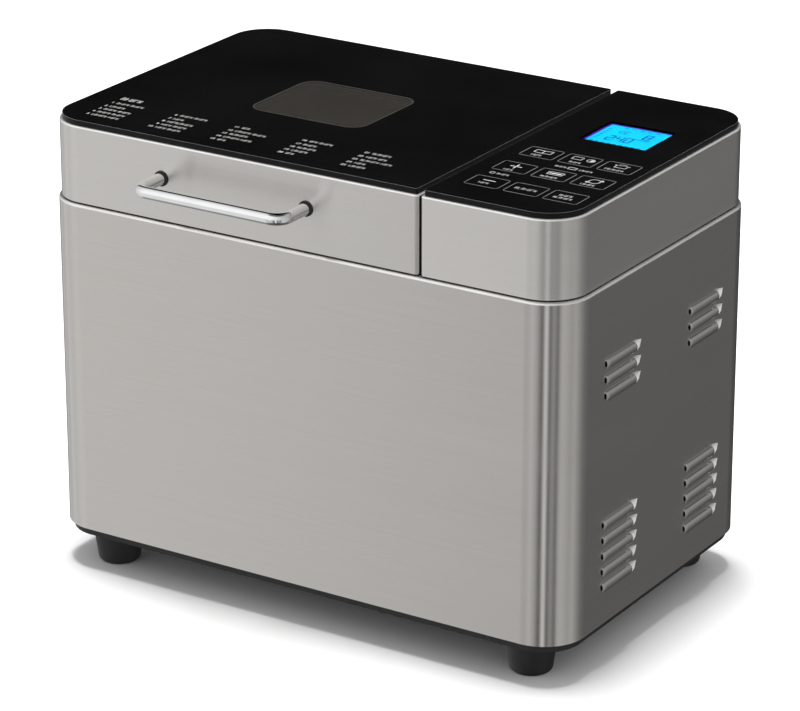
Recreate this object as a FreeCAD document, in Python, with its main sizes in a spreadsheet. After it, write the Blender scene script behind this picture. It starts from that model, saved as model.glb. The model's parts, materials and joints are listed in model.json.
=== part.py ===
import FreeCAD, Part
import math
import os
import Sketcher
from FreeCAD import Vector

# Countertop bread machine. X runs left to right, Y front to back, Z up from the
# surface that the feet stand on. Sketches are drawn about the middle of the
# housing; every sub-part then takes the same small placement in Y, which brings
# the middle of the whole object, handle included, onto the origin.

SIZES = {
    # housing
    "width": 360,
    "depth": 228,
    "corner_radius": 27,
    "foot_height": 21.5,
    "rim_height": 5,
    "housing_height": 209,
    "lid_height": 48,
    "seam_gap": 1,
    "sheet": 0.8,
    "fold_radius": 1.5,
    "skirt_inset": 1.7,
    "ledge": 2.3,
    "panel_width": 93.9,
    "lid_gap": 1.2,
    "inner_corner": 2.5,
    "glass_thickness": 3.5,
    "glass_inset": 1.7,
    "glass_edge": 0.5,
    "flange": 6,
    # base and feet
    "rim_inset": 3,
    "tray_floor": 3,
    "tray_wall": 2.5,
    "tray_height": 20.5,
    "tray_lap": 1,
    "foot_side": 33,
    "foot_front": 24,
    "foot_top_radius": 15.5,
    "foot_bottom_radius": 12.6,
    "foot_edge": 2.5,
    "foot_bore": 5.5,
    "foot_seat": 14,
    "boss_radius": 5,
    "boss_height": 9,
    "screw_radius": 2,
    "screw_head_radius": 4,
    "screw_head": 2.5,
    "screw_play": 0.2,
    # louvres of the right side
    "louvre_length": 41,
    "louvre_height": 6.6,
    "louvre_rise": 2.6,
    "louvre_lip": 1.6,
    "louvre_pitch": 9.8,
    "louvre_upper": 165,
    "louvre_lower": 66,
    "louvre_front": 47,
    "louvre_back": 52.5,
    # rear panel and cord gland
    "rear_side": 11,
    "rear_sill": 1,
    "rear_head": 50,
    "rear_lap": 8,
    "rear_panel": 1.5,
    "rear_screw_radius": 1.5,
    "rear_screw_head": 1.8,
    "rear_slot_length": 60,
    "rear_slot_width": 4,
    "rear_slot_pitch": 10,
    "gland_x": 120,
    "gland_z": 68,
    "gland_radius": 9,
    "gland_collar": 12,
    "gland_reach": 6,
    "gland_nut": 2,
    "cord_radius": 3.6,
    # oven
    "oven_side": 28.75,
    "oven_room": 32,
    "oven_wall": 1,
    "oven_corner": 30,
    "oven_floor": 30.5,
    "oven_flange": 8,
    "deck": 2.5,
    "deck_play": 0.5,
    "standoff_radius": 5,
    "standoff_inset": 14,
    "element_radius": 3.25,
    "element_height": 14,
    "element_room": 8,
    "element_corner": 20,
    "terminal_y": 14,
    "terminal_bend": 6.5,
    "terminal_reach": 16,
    "insulator_radius": 6,
    "insulator_length": 9,
    "fuse_length": 26,
    "fuse_width": 10,
    "fuse_depth": 8,
    "fuse_edge": 2,
    "fuse_height": 70,
    # temperature sensor
    "sensor_edge": 7,
    "sensor_play": 0.3,
    "sensor_height": 60,
    "sensor_rod": 2.5,
    "sensor_tip": 5,
    "sensor_tip_length": 3,
    "sensor_travel": 3,
    "sensor_barrel": 7,
    "sensor_barrel_length": 24,
    "sensor_chamber": 5,
    "sensor_end": 3,
    "sensor_spring_length": 12,
    "sensor_flange": 11,
    # pan
    "pan_gap": 14,
    "pan_drop": 32.5,
    "pan_taper": 5,
    "pan_wall": 1.5,
    "pan_floor": 2,
    "pan_corner": 24,
    "pan_rim": 3,
    "pan_lift_height": 26,
    "base_radius": 48,
    "base_wall": 3,
    "base_plate": 4,
    "base_gap": 1,
    "base_hub_radius": 14,
    "base_hub": 6,
    "seat_play": 0.5,
    "seat_wall": 7,
    "seat_height": 5,
    "clip_width": 14,
    "clip_sheet": 1,
    "clip_foot": 9,
    "clip_upright": 8,
    "clip_lean": 8,
    "clip_knee": 14.5,
    "clip_tip": 2.4,
    "clip_height": 22,
    "clip_slope": 0.6,
    "bail_radius": 2.5,
    "bail_drop": 9,
    "bail_room": 7,
    "bail_bend": 20,
    "bail_play": 0.1,
    "ear_radius": 8,
    "ear_sheet": 2.5,
    # drive line
    "shaft_radius": 4,
    "shaft_play": 0.05,
    "bush_wall": 2.5,
    "bush_flange": 1.5,
    "bearing_radius": 11,
    "bearing_flange_radius": 26,
    "bearing_flange": 3,
    "bearing_drop": 8,
    "bearing_rise": 6,
    "coupling_radius": 14,
    "coupling_disc": 4,
    "coupling_gap": 0.4,
    "dog_height": 6,
    "dog_width": 6,
    "dog_inner": 7,
    "dog_gap": 1,
    "dog_outer": 13,
    "pan_bush_radius": 7,
    "pan_bush_collar": 9,
    "pan_bush_rise": 6,
    "pan_shaft_rise": 34,
    "paddle_hub": 9,
    "paddle_height": 26,
    "paddle_length": 52,
    "paddle_blade": 34,
    "paddle_thickness": 5,
    "paddle_gap": 0.5,
    "pulley_height": 10,
    "pulley_gap": 1,
    "pulley_drop": 2,
    "pulley_lip": 2,
    "pulley_lip_height": 2,
    "pulley_groove": 50,
    "pulley_web": 3,
    "pulley_hub": 12,
    "pulley_rim": 5,
    "pulley_hole": 9,
    "pulley_hole_circle": 29,
    "motor_groove": 8,
    "belt_thickness": 2,
    "belt_play": 0.3,
    "belt_gap": 0.5,
    # motor
    "motor_radius": 31,
    "motor_height": 60,
    "motor_wall": 4,
    "motor_floor": 42.5,
    "motor_shaft_radius": 3,
    "armature_radius": 24,
    "armature_gap": 5,
    "bracket_sheet": 3,
    "bracket_width": 84,
    "bracket_depth": 76,
    "bracket_bore": 8,
    "bracket_leg": 5,
    "bracket_leg_inset": 6,
    "motor_screw_circle": 20,
    # boards and panel
    "board": 1.6,
    "power_board_x": 15,
    "power_board_front": 70,
    "power_board_back": 30,
    "power_board_height": 150,
    "power_board_floor": 12,
    "transformer_edge": 10,
    "transformer_width": 40,
    "transformer_height": 36,
    "transformer_reach": 30,
    "relay_gap": 16,
    "relay_size": 20,
    "relay_reach": 16,
    "relay_rise": 8,
    "capacitor_radius": 8,
    "capacitor_reach": 24,
    "capacitor_rise": 12,
    "capacitor_pitch": 22,
    "rack_width": 8,
    "rack_depth": 7,
    "rack_height": 90,
    "rack_overlap": 3,
    "carrier_wall": 2.5,
    "carrier_shelf": 25,
    "lcd_x": 45.6,
    "lcd_y": 36,
    "lcd_width": 43.3,
    "lcd_depth": 38,
    "lcd_border": 2,
    "lcd_thickness": 5,
    "key_x": 45.3,
    "key_front": 63.1,
    "key_pitch_x": 25.4,
    "key_pitch_y": 30.3,
    "key_margin": 12,
    "key_margin_deep": 9.5,
    # lid
    "liner_gap": 1,
    "liner_sheet": 1,
    "liner_play": 3.2,
    "liner_drop": 8.5,
    "window_x": 3.9,
    "window_y": 3.9,
    "window_width": 78,
    "window_depth": 67,
    "window_corner": 10,
    "window_margin": 3,
    "pane": 3,
    "pane_lap": 6,
    "gasket_inset": 3,
    "gasket_width": 4,
    "gasket_play": 0.3,
    "handle_x": 5.2,
    "handle_spacing": 100.7,
    "handle_height": 26.7,
    "handle_reach": 25.5,
    "handle_radius": 3.75,
    "handle_bend": 8,
    "handle_bore": 12,
    "collar_radius": 5.2,
    "collar": 1,
    # hinges
    "hinge_spread": 150,
    "hinge_length": 60,
    "hinge_end": 15,
    "hinge_play": 0.5,
    "hinge_rise": 2.5,
    "barrel_radius": 3.5,
    "pin_radius": 1.5,
    "pin_play": 0.05,
    "pin_end": 1,
    "leaf": 2,
    "leaf_height": 30,
    "leaf_drop": 1,
    "hinge_notch": 5,
}

doc = FreeCAD.newDocument("bread_machine")
sheet = doc.addObject("Spreadsheet::Sheet", "Size")
for row, (alias, number) in enumerate(SIZES.items(), start=1):
    sheet.set(f"A{row}", alias)
    sheet.set(f"B{row}", str(number))
    sheet.setAlias(f"B{row}", alias)
doc.recompute()


class Formula:
    """A size worked out from the sheet: its expression and its present number."""

    def __init__(self, text, number):
        self.text = text
        self.number = number

    def join(self, sign, other, number):
        return Formula(f"({self.text} {sign} {other.text})", number)

    def __add__(self, other):
        other = formula(other)
        return self.join("+", other, self.number + other.number)

    def __sub__(self, other):
        other = formula(other)
        return self.join("-", other, self.number - other.number)

    def __mul__(self, other):
        other = formula(other)
        return self.join("*", other, self.number * other.number)

    def __truediv__(self, other):
        other = formula(other)
        return self.join("/", other, self.number / other.number)

    def __radd__(self, other):
        return formula(other) + self

    def __rsub__(self, other):
        return formula(other) - self

    def __rmul__(self, other):
        return formula(other) * self

    def __neg__(self):
        return Formula(f"(-1 * {self.text})", -self.number)


def formula(value):
    if isinstance(value, Formula):
        return value
    return Formula(f"({float(value):.6g})", float(value))


class Sizes:
    """Reads a cell of the sheet by its alias."""

    def __getattr__(self, alias):
        return Formula(f"Size.{alias}", float(sheet.get(alias)))


S = Sizes()

# Levels and places that many sub-parts share.
HOUSING_SHIFT = (S.handle_reach + S.handle_radius - S.skirt_inset - S.gland_reach) / 2
STEEL_BOTTOM = S.foot_height + S.rim_height
SEAM = STEEL_BOTTOM + S.housing_height
LID_BOTTOM = SEAM + S.seam_gap
SKIRT_TOP = SEAM + S.lid_height
HALF_WIDTH = S.width / 2
HALF_DEPTH = S.depth / 2
SKIRT_X = HALF_WIDTH - S.skirt_inset
SKIRT_Y = HALF_DEPTH - S.skirt_inset
SKIRT_CORNER = S.corner_radius - S.skirt_inset
KEYS_Y = S.key_front - SKIRT_Y
PANEL_LEFT = SKIRT_X - S.panel_width
LID_RIGHT = PANEL_LEFT - S.lid_gap
TRAY_TOP = S.foot_height + S.tray_floor

OVEN_X = (LID_RIGHT - SKIRT_X) / 2
OVEN_HALF_X = (LID_RIGHT + SKIRT_X) / 2 - S.oven_side
OVEN_HALF_Y = HALF_DEPTH - S.oven_room
OVEN_FLAT_Y = OVEN_HALF_Y - S.oven_corner
SENSOR_Y = OVEN_FLAT_Y - S.sensor_edge
OVEN_FLOOR = S.foot_height + S.oven_floor
OVEN_RIGHT = OVEN_X + OVEN_HALF_X + S.oven_wall
DECK_TOP = SEAM - S.sheet
DECK_BOTTOM = DECK_TOP - S.deck

PAN_TOP = SEAM - S.pan_drop
PAN_BOTTOM = OVEN_FLOOR + S.pan_lift_height
PAN_HALF_X = OVEN_HALF_X - S.pan_gap
PAN_HALF_Y = OVEN_HALF_Y - S.pan_gap
BAIL_Z = PAN_TOP - S.bail_drop

BEARING_BOTTOM = OVEN_FLOOR - S.oven_wall - S.bearing_drop
BEARING_TOP = OVEN_FLOOR + S.bearing_rise
BUSH_TOP = BEARING_TOP + S.bush_flange
COUPLING_BOTTOM = BUSH_TOP + S.coupling_gap
DOG_BOTTOM = COUPLING_BOTTOM + S.coupling_disc
PAN_DOG_BOTTOM = DOG_BOTTOM + S.dog_gap
PULLEY_TOP = BEARING_BOTTOM - S.pulley_drop
PULLEY_BOTTOM = PULLEY_TOP - S.pulley_height

MOTOR_X = (OVEN_RIGHT + HALF_WIDTH - S.sheet) / 2
MOTOR_BOTTOM = S.foot_height + S.motor_floor
POWER_BOARD_X = HALF_WIDTH - S.power_board_x

HINGE_Y = HALF_DEPTH
HINGE_Z = SEAM + S.hinge_rise
HANDLE_Z = SEAM + S.handle_height
HANDLE_X = OVEN_X + S.handle_x
LINER_TOP = SKIRT_TOP - S.liner_drop

subparts = []
cuts = []


# Sketching.

def newBody(label, compound=False):
    body = doc.addObject("PartDesign::Body", label)
    body.Label = label
    body.AllowCompound = compound
    body.setExpression("Placement.Base.y", HOUSING_SHIFT.text)
    subparts.append(body)
    return body


def newSketch(body, plane, x=0, y=0, z=0):
    """A sketch on one of the body's planes, its origin moved to x, y, z."""
    sketch = body.newObject("Sketcher::SketchObject", "Sketch")
    origin = next(item for item in body.Origin.OriginFeatures if item.Role == plane)
    sketch.AttachmentSupport = (origin, [""])
    sketch.MapMode = "FlatFace"
    x, y, z = formula(x), formula(y), formula(z)
    offsets = {"XY_Plane": (x, y, z), "XZ_Plane": (x, z, -y), "YZ_Plane": (y, z, x)}[plane]
    for axis, offset in zip("xyz", offsets):
        sketch.setExpression(f"AttachmentOffset.Base.{axis}", offset.text)
    return sketch


def dimension(sketch, constraint, size):
    index = sketch.addConstraint(constraint)
    name = f"size{index}"
    sketch.renameConstraint(index, name)
    sketch.setExpression(f"Constraints.{name}", size.text)


def placePoint(sketch, geometry, end, x, y):
    horizontal = Sketcher.Constraint("DistanceX", -1, 1, geometry, end, x.number)
    dimension(sketch, horizontal, x)
    vertical = Sketcher.Constraint("DistanceY", -1, 1, geometry, end, y.number)
    dimension(sketch, vertical, y)


def drawPolygon(sketch, points):
    points = [(formula(x), formula(y)) for x, y in points]
    corners = [Vector(x.number, y.number, 0) for x, y in points]
    first = sketch.GeometryCount
    following = corners[1:] + corners[:1]
    sketch.addGeometry([Part.LineSegment(a, b) for a, b in zip(corners, following)], False)
    for i, (x, y) in enumerate(points):
        ahead = first + (i + 1) % len(points)
        sketch.addConstraint(Sketcher.Constraint("Coincident", first + i, 2, ahead, 1))
        placePoint(sketch, first + i, 1, x, y)


def drawCircle(sketch, x, y, radius):
    x, y, radius = formula(x), formula(y), formula(radius)
    circle = Part.Circle(Vector(x.number, y.number, 0), Vector(0, 0, 1), radius.number)
    index = sketch.addGeometry(circle, False)
    placePoint(sketch, index, 3, x, y)
    dimension(sketch, Sketcher.Constraint("Radius", index, radius.number), radius)


def drawRectangle(sketch, left, right, low, high):
    drawPolygon(sketch, [(left, low), (right, low), (right, high), (left, high)])


def drawRounded(sketch, left, right, low, high, radius, leftRadius=None):
    """A rounded rectangle; the two corners on the left can have their own radius."""
    left, right, low, high = (formula(value) for value in (left, right, low, high))
    rightR = formula(radius)
    leftR = formula(radius if leftRadius is None else leftRadius)
    x0, x1, y0, y1 = left.number, right.number, low.number, high.number
    rr, rl = rightR.number, leftR.number

    def arc(x, y, r, quarter):
        circle = Part.Circle(Vector(x, y, 0), Vector(0, 0, 1), r)
        start = quarter * math.pi / 2
        return Part.ArcOfCircle(circle, start, start + math.pi / 2)

    def line(ax, ay, bx, by):
        return Part.LineSegment(Vector(ax, ay, 0), Vector(bx, by, 0))

    first = sketch.GeometryCount
    sketch.addGeometry([
        line(x0 + rl, y0, x1 - rr, y0),
        arc(x1 - rr, y0 + rr, rr, 3),
        line(x1, y0 + rr, x1, y1 - rr),
        arc(x1 - rr, y1 - rr, rr, 0),
        line(x1 - rr, y1, x0 + rl, y1),
        arc(x0 + rl, y1 - rl, rl, 1),
        line(x0, y1 - rl, x0, y0 + rl),
        arc(x0 + rl, y0 + rl, rl, 2),
    ], False)
    for i in range(8):
        ahead = first + (i + 1) % 8
        sketch.addConstraint(Sketcher.Constraint("Tangent", first + i, 2, ahead, 1))
    for i, direction in enumerate(("Horizontal", "Vertical", "Horizontal", "Vertical")):
        sketch.addConstraint(Sketcher.Constraint(direction, first + 2 * i))
    for i, r in ((1, rightR), (3, rightR), (5, leftR), (7, leftR)):
        dimension(sketch, Sketcher.Constraint("Radius", first + i, r.number), r)
    for kind, i, size in (("X", 6, left), ("X", 2, right), ("Y", 0, low), ("Y", 4, high)):
        constraint = Sketcher.Constraint("Distance" + kind, -1, 1, first + i, 1, size.number)
        dimension(sketch, constraint, size)


def drawBelt(sketch, farX, bigRadius, smallRadius):
    """Two arcs, about the origin and about farX, joined by tangent lines."""
    distance = farX.number
    lean = math.acos((bigRadius.number - smallRadius.number) / distance)
    up, axis = Vector(0, 0, 1), math.pi * 2

    def rim(x, r, angle):
        return Vector(x + r * math.cos(angle), r * math.sin(angle), 0)

    big, small = bigRadius.number, smallRadius.number
    first = sketch.GeometryCount
    sketch.addGeometry([
        Part.ArcOfCircle(Part.Circle(Vector(), up, big), lean, axis - lean),
        Part.LineSegment(rim(0, big, -lean), rim(distance, small, -lean)),
        Part.ArcOfCircle(Part.Circle(Vector(distance, 0, 0), up, small), -lean, lean),
        Part.LineSegment(rim(distance, small, lean), rim(0, big, lean)),
    ], False)
    for i in range(4):
        ahead = first + (i + 1) % 4
        sketch.addConstraint(Sketcher.Constraint("Tangent", first + i, 2, ahead, 1))
    for i, x, radius in ((0, formula(0), bigRadius), (2, farX, smallRadius)):
        placePoint(sketch, first + i, 3, x, formula(0))
        dimension(sketch, Sketcher.Constraint("Radius", first + i, radius.number), radius)


def drawRoute(sketch, points, radii):
    """An open path of straight runs with a tangent arc at every inner point."""
    points = [(formula(x), formula(y)) for x, y in points]
    corners = [Vector(x.number, y.number, 0) for x, y in points]
    radii = [formula(radius) for radius in radii]
    starts, ends, arcs, order = [corners[0]], [], [], []
    for before, corner, after, radius in zip(corners, corners[1:], corners[2:], radii):
        back, ahead = (before - corner).normalize(), (after - corner).normalize()
        half = back.getAngle(ahead) / 2
        enter = corner + back * (radius.number / math.tan(half))
        leave = corner + ahead * (radius.number / math.tan(half))
        centre = corner + (back + ahead).normalize() * (radius.number / math.sin(half))
        middle = centre + (corner - centre).normalize() * radius.number
        leftTurn = ahead.cross(back).z > 0
        arcs.append(Part.Arc(enter, middle, leave) if leftTurn else Part.Arc(leave, middle, enter))
        order.append((1, 2) if leftTurn else (2, 1))
        ends.append(enter)
        starts.append(leave)
    ends.append(corners[-1])
    lines = [Part.LineSegment(a, b) for a, b in zip(starts, ends)]
    sketch.addGeometry(lines + arcs, False)
    for i, (radius, (first, last)) in enumerate(zip(radii, order)):
        arc = len(lines) + i
        sketch.addConstraint(Sketcher.Constraint("Tangent", i, 2, arc, first))
        sketch.addConstraint(Sketcher.Constraint("Tangent", arc, last, i + 1, 1))
        dimension(sketch, Sketcher.Constraint("Radius", arc, radius.number), radius)
    placePoint(sketch, 0, 1, *points[0])
    placePoint(sketch, len(lines) - 1, 2, *points[-1])
    for i, ((x, y), after) in enumerate(zip(points, points[1:])):
        level = abs(y.number - after[1].number) < 1e-6
        direction = "Horizontal" if level else "Vertical"
        sketch.addConstraint(Sketcher.Constraint(direction, i))
        if 0 < i < len(lines) - 1:
            kind, size = ("Y", y) if level else ("X", x)
            constraint = Sketcher.Constraint("Distance" + kind, -1, 1, i, 1, size.number)
            dimension(sketch, constraint, size)


# Features.

def pad(sketch, length, reverse=False):
    body = sketch.getParentGeoFeatureGroup()
    feature = body.newObject("PartDesign::Pad", "Pad")
    feature.Profile = sketch
    feature.Reversed = reverse
    feature.setExpression("Length", formula(length).text)
    return feature


def pocket(sketch, length, reverse=True):
    """Cuts along the sketch's normal, or against it when reverse is False."""
    body = sketch.getParentGeoFeatureGroup()
    feature = body.newObject("PartDesign::Pocket", "Pocket")
    feature.Profile = sketch
    feature.Reversed = reverse
    feature.setExpression("Length", formula(length).text)
    cuts.append(feature)
    return feature


def revolve(body, points, x=0, y=0):
    """Turns a profile of radius and height about the upright line at x, y."""
    sketch = newSketch(body, "XZ_Plane", x, y)
    drawPolygon(sketch, points)
    feature = body.newObject("PartDesign::Revolution", "Revolution")
    feature.Profile = sketch
    feature.ReferenceAxis = (sketch, ["V_Axis"])
    feature.Angle = 360
    return feature


def pipe(body, profile, spine):
    feature = body.newObject("PartDesign::AdditivePipe", "Pipe")
    feature.Profile = profile
    feature.Spine = spine
    return feature


def soften(body, kind, size, chosen):
    """A fillet or chamfer on the edges that the chosen test accepts."""
    doc.recompute()
    base = body.Tip
    edges = enumerate(base.Shape.Edges, start=1)
    names = [f"Edge{index}" for index, edge in edges if chosen(edge)]
    feature = body.newObject(f"PartDesign::{kind}", kind)
    feature.Base = (base, names)
    feature.setExpression("Radius" if kind == "Fillet" else "Size", formula(size).text)
    return feature


def atHeight(z):
    """Accepts the edges that lie in the level plane at z."""
    def chosen(edge):
        box = edge.BoundBox
        return abs(box.ZMin - z.number) < 1e-4 and abs(box.ZMax - z.number) < 1e-4
    return chosen


def block(body, left, right, front, back, low, high):
    sketch = newSketch(body, "XY_Plane", z=low)
    drawRectangle(sketch, left, right, front, back)
    return pad(sketch, formula(high) - low)


def postAlongZ(body, circles, low, high):
    sketch = newSketch(body, "XY_Plane", z=low)
    for x, y, radius in circles:
        drawCircle(sketch, x, y, radius)
    return pad(sketch, formula(high) - low)


def drillAlongZ(body, circles, low, high):
    sketch = newSketch(body, "XY_Plane", z=low)
    for x, y, radius in circles:
        drawCircle(sketch, x, y, radius)
    return pocket(sketch, formula(high) - low)


def postAlongY(body, circles, front, back):
    sketch = newSketch(body, "XZ_Plane", y=front)
    for x, z, radius in circles:
        drawCircle(sketch, x, z, radius)
    return pad(sketch, formula(back) - front, reverse=True)


def drillAlongY(body, circles, front, back):
    sketch = newSketch(body, "XZ_Plane", y=front)
    for x, z, radius in circles:
        drawCircle(sketch, x, z, radius)
    return pocket(sketch, formula(back) - front, reverse=False)


def postAlongX(body, circles, left, right):
    sketch = newSketch(body, "YZ_Plane", x=left)
    for y, z, radius in circles:
        drawCircle(sketch, y, z, radius)
    return pad(sketch, formula(right) - left)


def drillAlongX(body, circles, left, right):
    sketch = newSketch(body, "YZ_Plane", x=left)
    for y, z, radius in circles:
        drawCircle(sketch, y, z, radius)
    return pocket(sketch, formula(right) - left)


# Base and feet.

FOOT_PLACES = {
    "foot_front_left": (S.foot_side - HALF_WIDTH, S.foot_front - HALF_DEPTH),
    "foot_front_right": (HALF_WIDTH - S.foot_side, S.foot_front - HALF_DEPTH),
    "foot_rear_left": (S.foot_side - HALF_WIDTH, HALF_DEPTH - S.foot_front),
    "foot_rear_right": (HALF_WIDTH - S.foot_side, HALF_DEPTH - S.foot_front),
}
BOSS_TOP = TRAY_TOP + S.boss_height


def insetOutline(sketch, inset):
    """The housing's outline, brought inward by inset."""
    x, y = HALF_WIDTH - inset, HALF_DEPTH - inset
    drawRounded(sketch, -x, x, -y, y, S.corner_radius - inset)


def makeBaseTray():
    body = newBody("base_tray")
    rim = newSketch(body, "XY_Plane", z=S.foot_height)
    insetOutline(rim, S.rim_inset)
    pad(rim, S.rim_height + S.tray_lap)
    collar = newSketch(body, "XY_Plane", z=STEEL_BOTTOM + S.tray_lap)
    insetOutline(collar, S.sheet)
    pad(collar, S.tray_height - S.rim_height - S.tray_lap)
    hollow = newSketch(body, "XY_Plane", z=TRAY_TOP)
    insetOutline(hollow, S.rim_inset + S.tray_wall)
    pocket(hollow, S.tray_height)
    places = FOOT_PLACES.values()
    postAlongZ(body, [(x, y, S.boss_radius) for x, y in places], TRAY_TOP, BOSS_TOP)
    drillAlongZ(body, [(x, y, S.screw_radius) for x, y in places], S.foot_height, BOSS_TOP)
    for front, back in boardRack():
        block(body, POWER_BOARD_X - S.rack_width / 2, POWER_BOARD_X + S.rack_width / 2,
              front, back, TRAY_TOP, TRAY_TOP + S.rack_height)
    groove = newSketch(body, "XY_Plane", z=TRAY_TOP + S.power_board_floor)
    drawRectangle(groove, POWER_BOARD_X, POWER_BOARD_X + S.board,
                  -S.power_board_front, S.power_board_back)
    pocket(groove, S.rack_height)


def boardRack():
    """Front and back of the two uprights that hold the power board's edges."""
    front, back, lap = -S.power_board_front, S.power_board_back, S.rack_overlap
    return ((front + lap - S.rack_depth, front + lap), (back - lap, back - lap + S.rack_depth))


def makeFeet():
    bore = S.screw_radius + S.screw_play
    for label, (x, y) in FOOT_PLACES.items():
        body = newBody(label)
        revolve(body, [
            (S.foot_bore, 0),
            (S.foot_bottom_radius, 0),
            (S.foot_top_radius, S.foot_height),
            (bore, S.foot_height),
            (bore, S.foot_seat),
            (S.foot_bore, S.foot_seat),
        ], x, y)
        outer = S.foot_bottom_radius.number

        def bottomRim(edge):
            return atHeight(formula(0))(edge) and edge.Curve.Radius > outer - 0.1

        soften(body, "Fillet", S.foot_edge, bottomRim)


def makeFootScrews():
    body = newBody("foot_screws", compound=True)
    places = FOOT_PLACES.values()
    heads = [(x, y, S.screw_head_radius) for x, y in places]
    stems = [(x, y, S.screw_radius) for x, y in places]
    postAlongZ(body, heads, S.foot_seat - S.screw_head, S.foot_seat)
    postAlongZ(body, stems, S.foot_seat, BOSS_TOP)


# Housing.

HINGE_CENTRES = (OVEN_X - S.hinge_spread / 2, OVEN_X + S.hinge_spread / 2)
HINGE_SLOT = S.hinge_length / 2 + S.pin_end + S.hinge_play
REAR_LOW = S.foot_height + S.tray_height + S.rear_sill + S.rear_lap
REAR_HIGH = SEAM - S.rear_head
REAR_FACE = HALF_DEPTH - S.sheet
REAR_HALF = HALF_WIDTH - S.corner_radius - S.rear_side
REAR_SCREWS = [
    (x, z)
    for x in (-(REAR_HALF + S.rear_lap / 2), REAR_HALF + S.rear_lap / 2)
    for z in (REAR_LOW + S.rear_lap, REAR_HIGH - S.rear_lap)
]


def louvreTops():
    upper = [STEEL_BOTTOM + S.louvre_upper - S.louvre_pitch * step for step in range(3)]
    lower = [STEEL_BOTTOM + S.louvre_lower - S.louvre_pitch * step for step in range(5)]
    return upper + lower


def addLouvres(body):
    """Hoods pressed out of the right side, open along their lower edge."""
    rootX, faceX = HALF_WIDTH - S.sheet / 2, HALF_WIDTH + S.louvre_rise
    for middle in (-S.louvre_front, S.louvre_back):
        front = middle - S.louvre_length / 2
        hoods = newSketch(body, "XZ_Plane", y=front)
        for top in louvreTops():
            low = top - S.louvre_height
            drawPolygon(hoods, [(rootX, top), (rootX, low), (faceX, low),
                                (faceX, low + S.louvre_lip)])
        pad(hoods, S.louvre_length, reverse=True)
        slots = newSketch(body, "XZ_Plane", y=front + S.sheet)
        backX, innerX = HALF_WIDTH - S.sheet * 2, faceX - S.sheet
        for top in louvreTops():
            low, high = top - S.louvre_height, top - S.sheet * 2
            drawPolygon(slots, [(backX, low), (innerX, low), (innerX, low + S.louvre_lip),
                                (HALF_WIDTH, high), (backX, high)])
        pocket(slots, S.louvre_length - S.sheet * 2, reverse=False)


def cutHingeNotches(body, low, high, front):
    notch = newSketch(body, "XY_Plane", z=low)
    for centre in HINGE_CENTRES:
        drawRectangle(notch, centre - HINGE_SLOT, centre + HINGE_SLOT, front, HALF_DEPTH + 1)
    pocket(notch, formula(high) - low)


def makeHousingShell():
    body = newBody("housing_shell")
    outline = newSketch(body, "XY_Plane", z=STEEL_BOTTOM)
    insetOutline(outline, 0)
    pad(outline, S.housing_height)
    soften(body, "Fillet", S.fold_radius, atHeight(SEAM))
    hollow = newSketch(body, "XY_Plane", z=STEEL_BOTTOM)
    insetOutline(hollow, S.sheet)
    pocket(hollow, S.housing_height - S.sheet)
    mouth = newSketch(body, "XY_Plane", z=DECK_TOP)
    insetOutline(mouth, S.skirt_inset + S.ledge)
    pocket(mouth, S.sheet)
    cutHingeNotches(body, SEAM - S.hinge_notch, SEAM, SKIRT_Y - S.ledge)
    rear = newSketch(body, "XZ_Plane", y=REAR_FACE)
    drawRounded(rear, -REAR_HALF, REAR_HALF, REAR_LOW, REAR_HIGH, S.rear_lap)
    pocket(rear, S.sheet, reverse=False)
    holes = S.rear_screw_radius + S.screw_play
    drillAlongY(body, [(x, z, holes) for x, z in REAR_SCREWS], REAR_FACE, HALF_DEPTH)
    addLouvres(body)


def makeRearPanel():
    body = newBody("rear_panel")
    front = REAR_FACE - S.rear_panel
    plate = newSketch(body, "XZ_Plane", y=front)
    half = REAR_HALF + S.rear_lap
    drawRounded(plate, -half, half, REAR_LOW - S.rear_lap, REAR_HIGH + S.rear_lap, S.rear_lap)
    pad(plate, S.rear_panel, reverse=True)
    holes = [(x, z, S.rear_screw_radius) for x, z in REAR_SCREWS]
    holes.append((S.gland_x, S.gland_z, S.gland_radius))
    drillAlongY(body, holes, front, REAR_FACE)
    slots = newSketch(body, "XZ_Plane", y=front)
    for side in (-1, 1):
        for step in range(6):
            x = side * (REAR_HALF - S.rear_slot_length)
            z = REAR_HIGH - S.rear_lap * 2 - S.rear_slot_pitch * step
            drawRounded(slots, x - S.rear_slot_length / 2, x + S.rear_slot_length / 2,
                        z - S.rear_slot_width, z, S.rear_slot_width * 0.49)
    pocket(slots, S.rear_panel, reverse=False)


def makeRearScrews():
    body = newBody("rear_panel_screws", compound=True)
    front = REAR_FACE - S.rear_panel
    stems = [(x, z, S.rear_screw_radius) for x, z in REAR_SCREWS]
    heads = [(x, z, S.rear_screw_radius * 2) for x, z in REAR_SCREWS]
    postAlongY(body, stems, front - S.rear_screw_head, HALF_DEPTH)
    postAlongY(body, heads, HALF_DEPTH, HALF_DEPTH + S.rear_screw_head)


def makeCordGland():
    body = newBody("cord_gland")
    front = REAR_FACE - S.rear_panel
    place = (S.gland_x, S.gland_z)
    postAlongY(body, [(*place, S.gland_radius)], front, REAR_FACE)
    postAlongY(body, [(*place, S.gland_collar)], REAR_FACE, HALF_DEPTH + S.gland_reach)
    postAlongY(body, [(*place, S.gland_collar)], front - S.gland_nut, front)
    drillAlongY(body, [(*place, S.cord_radius)], front - S.gland_nut, HALF_DEPTH + S.gland_reach)


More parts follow.
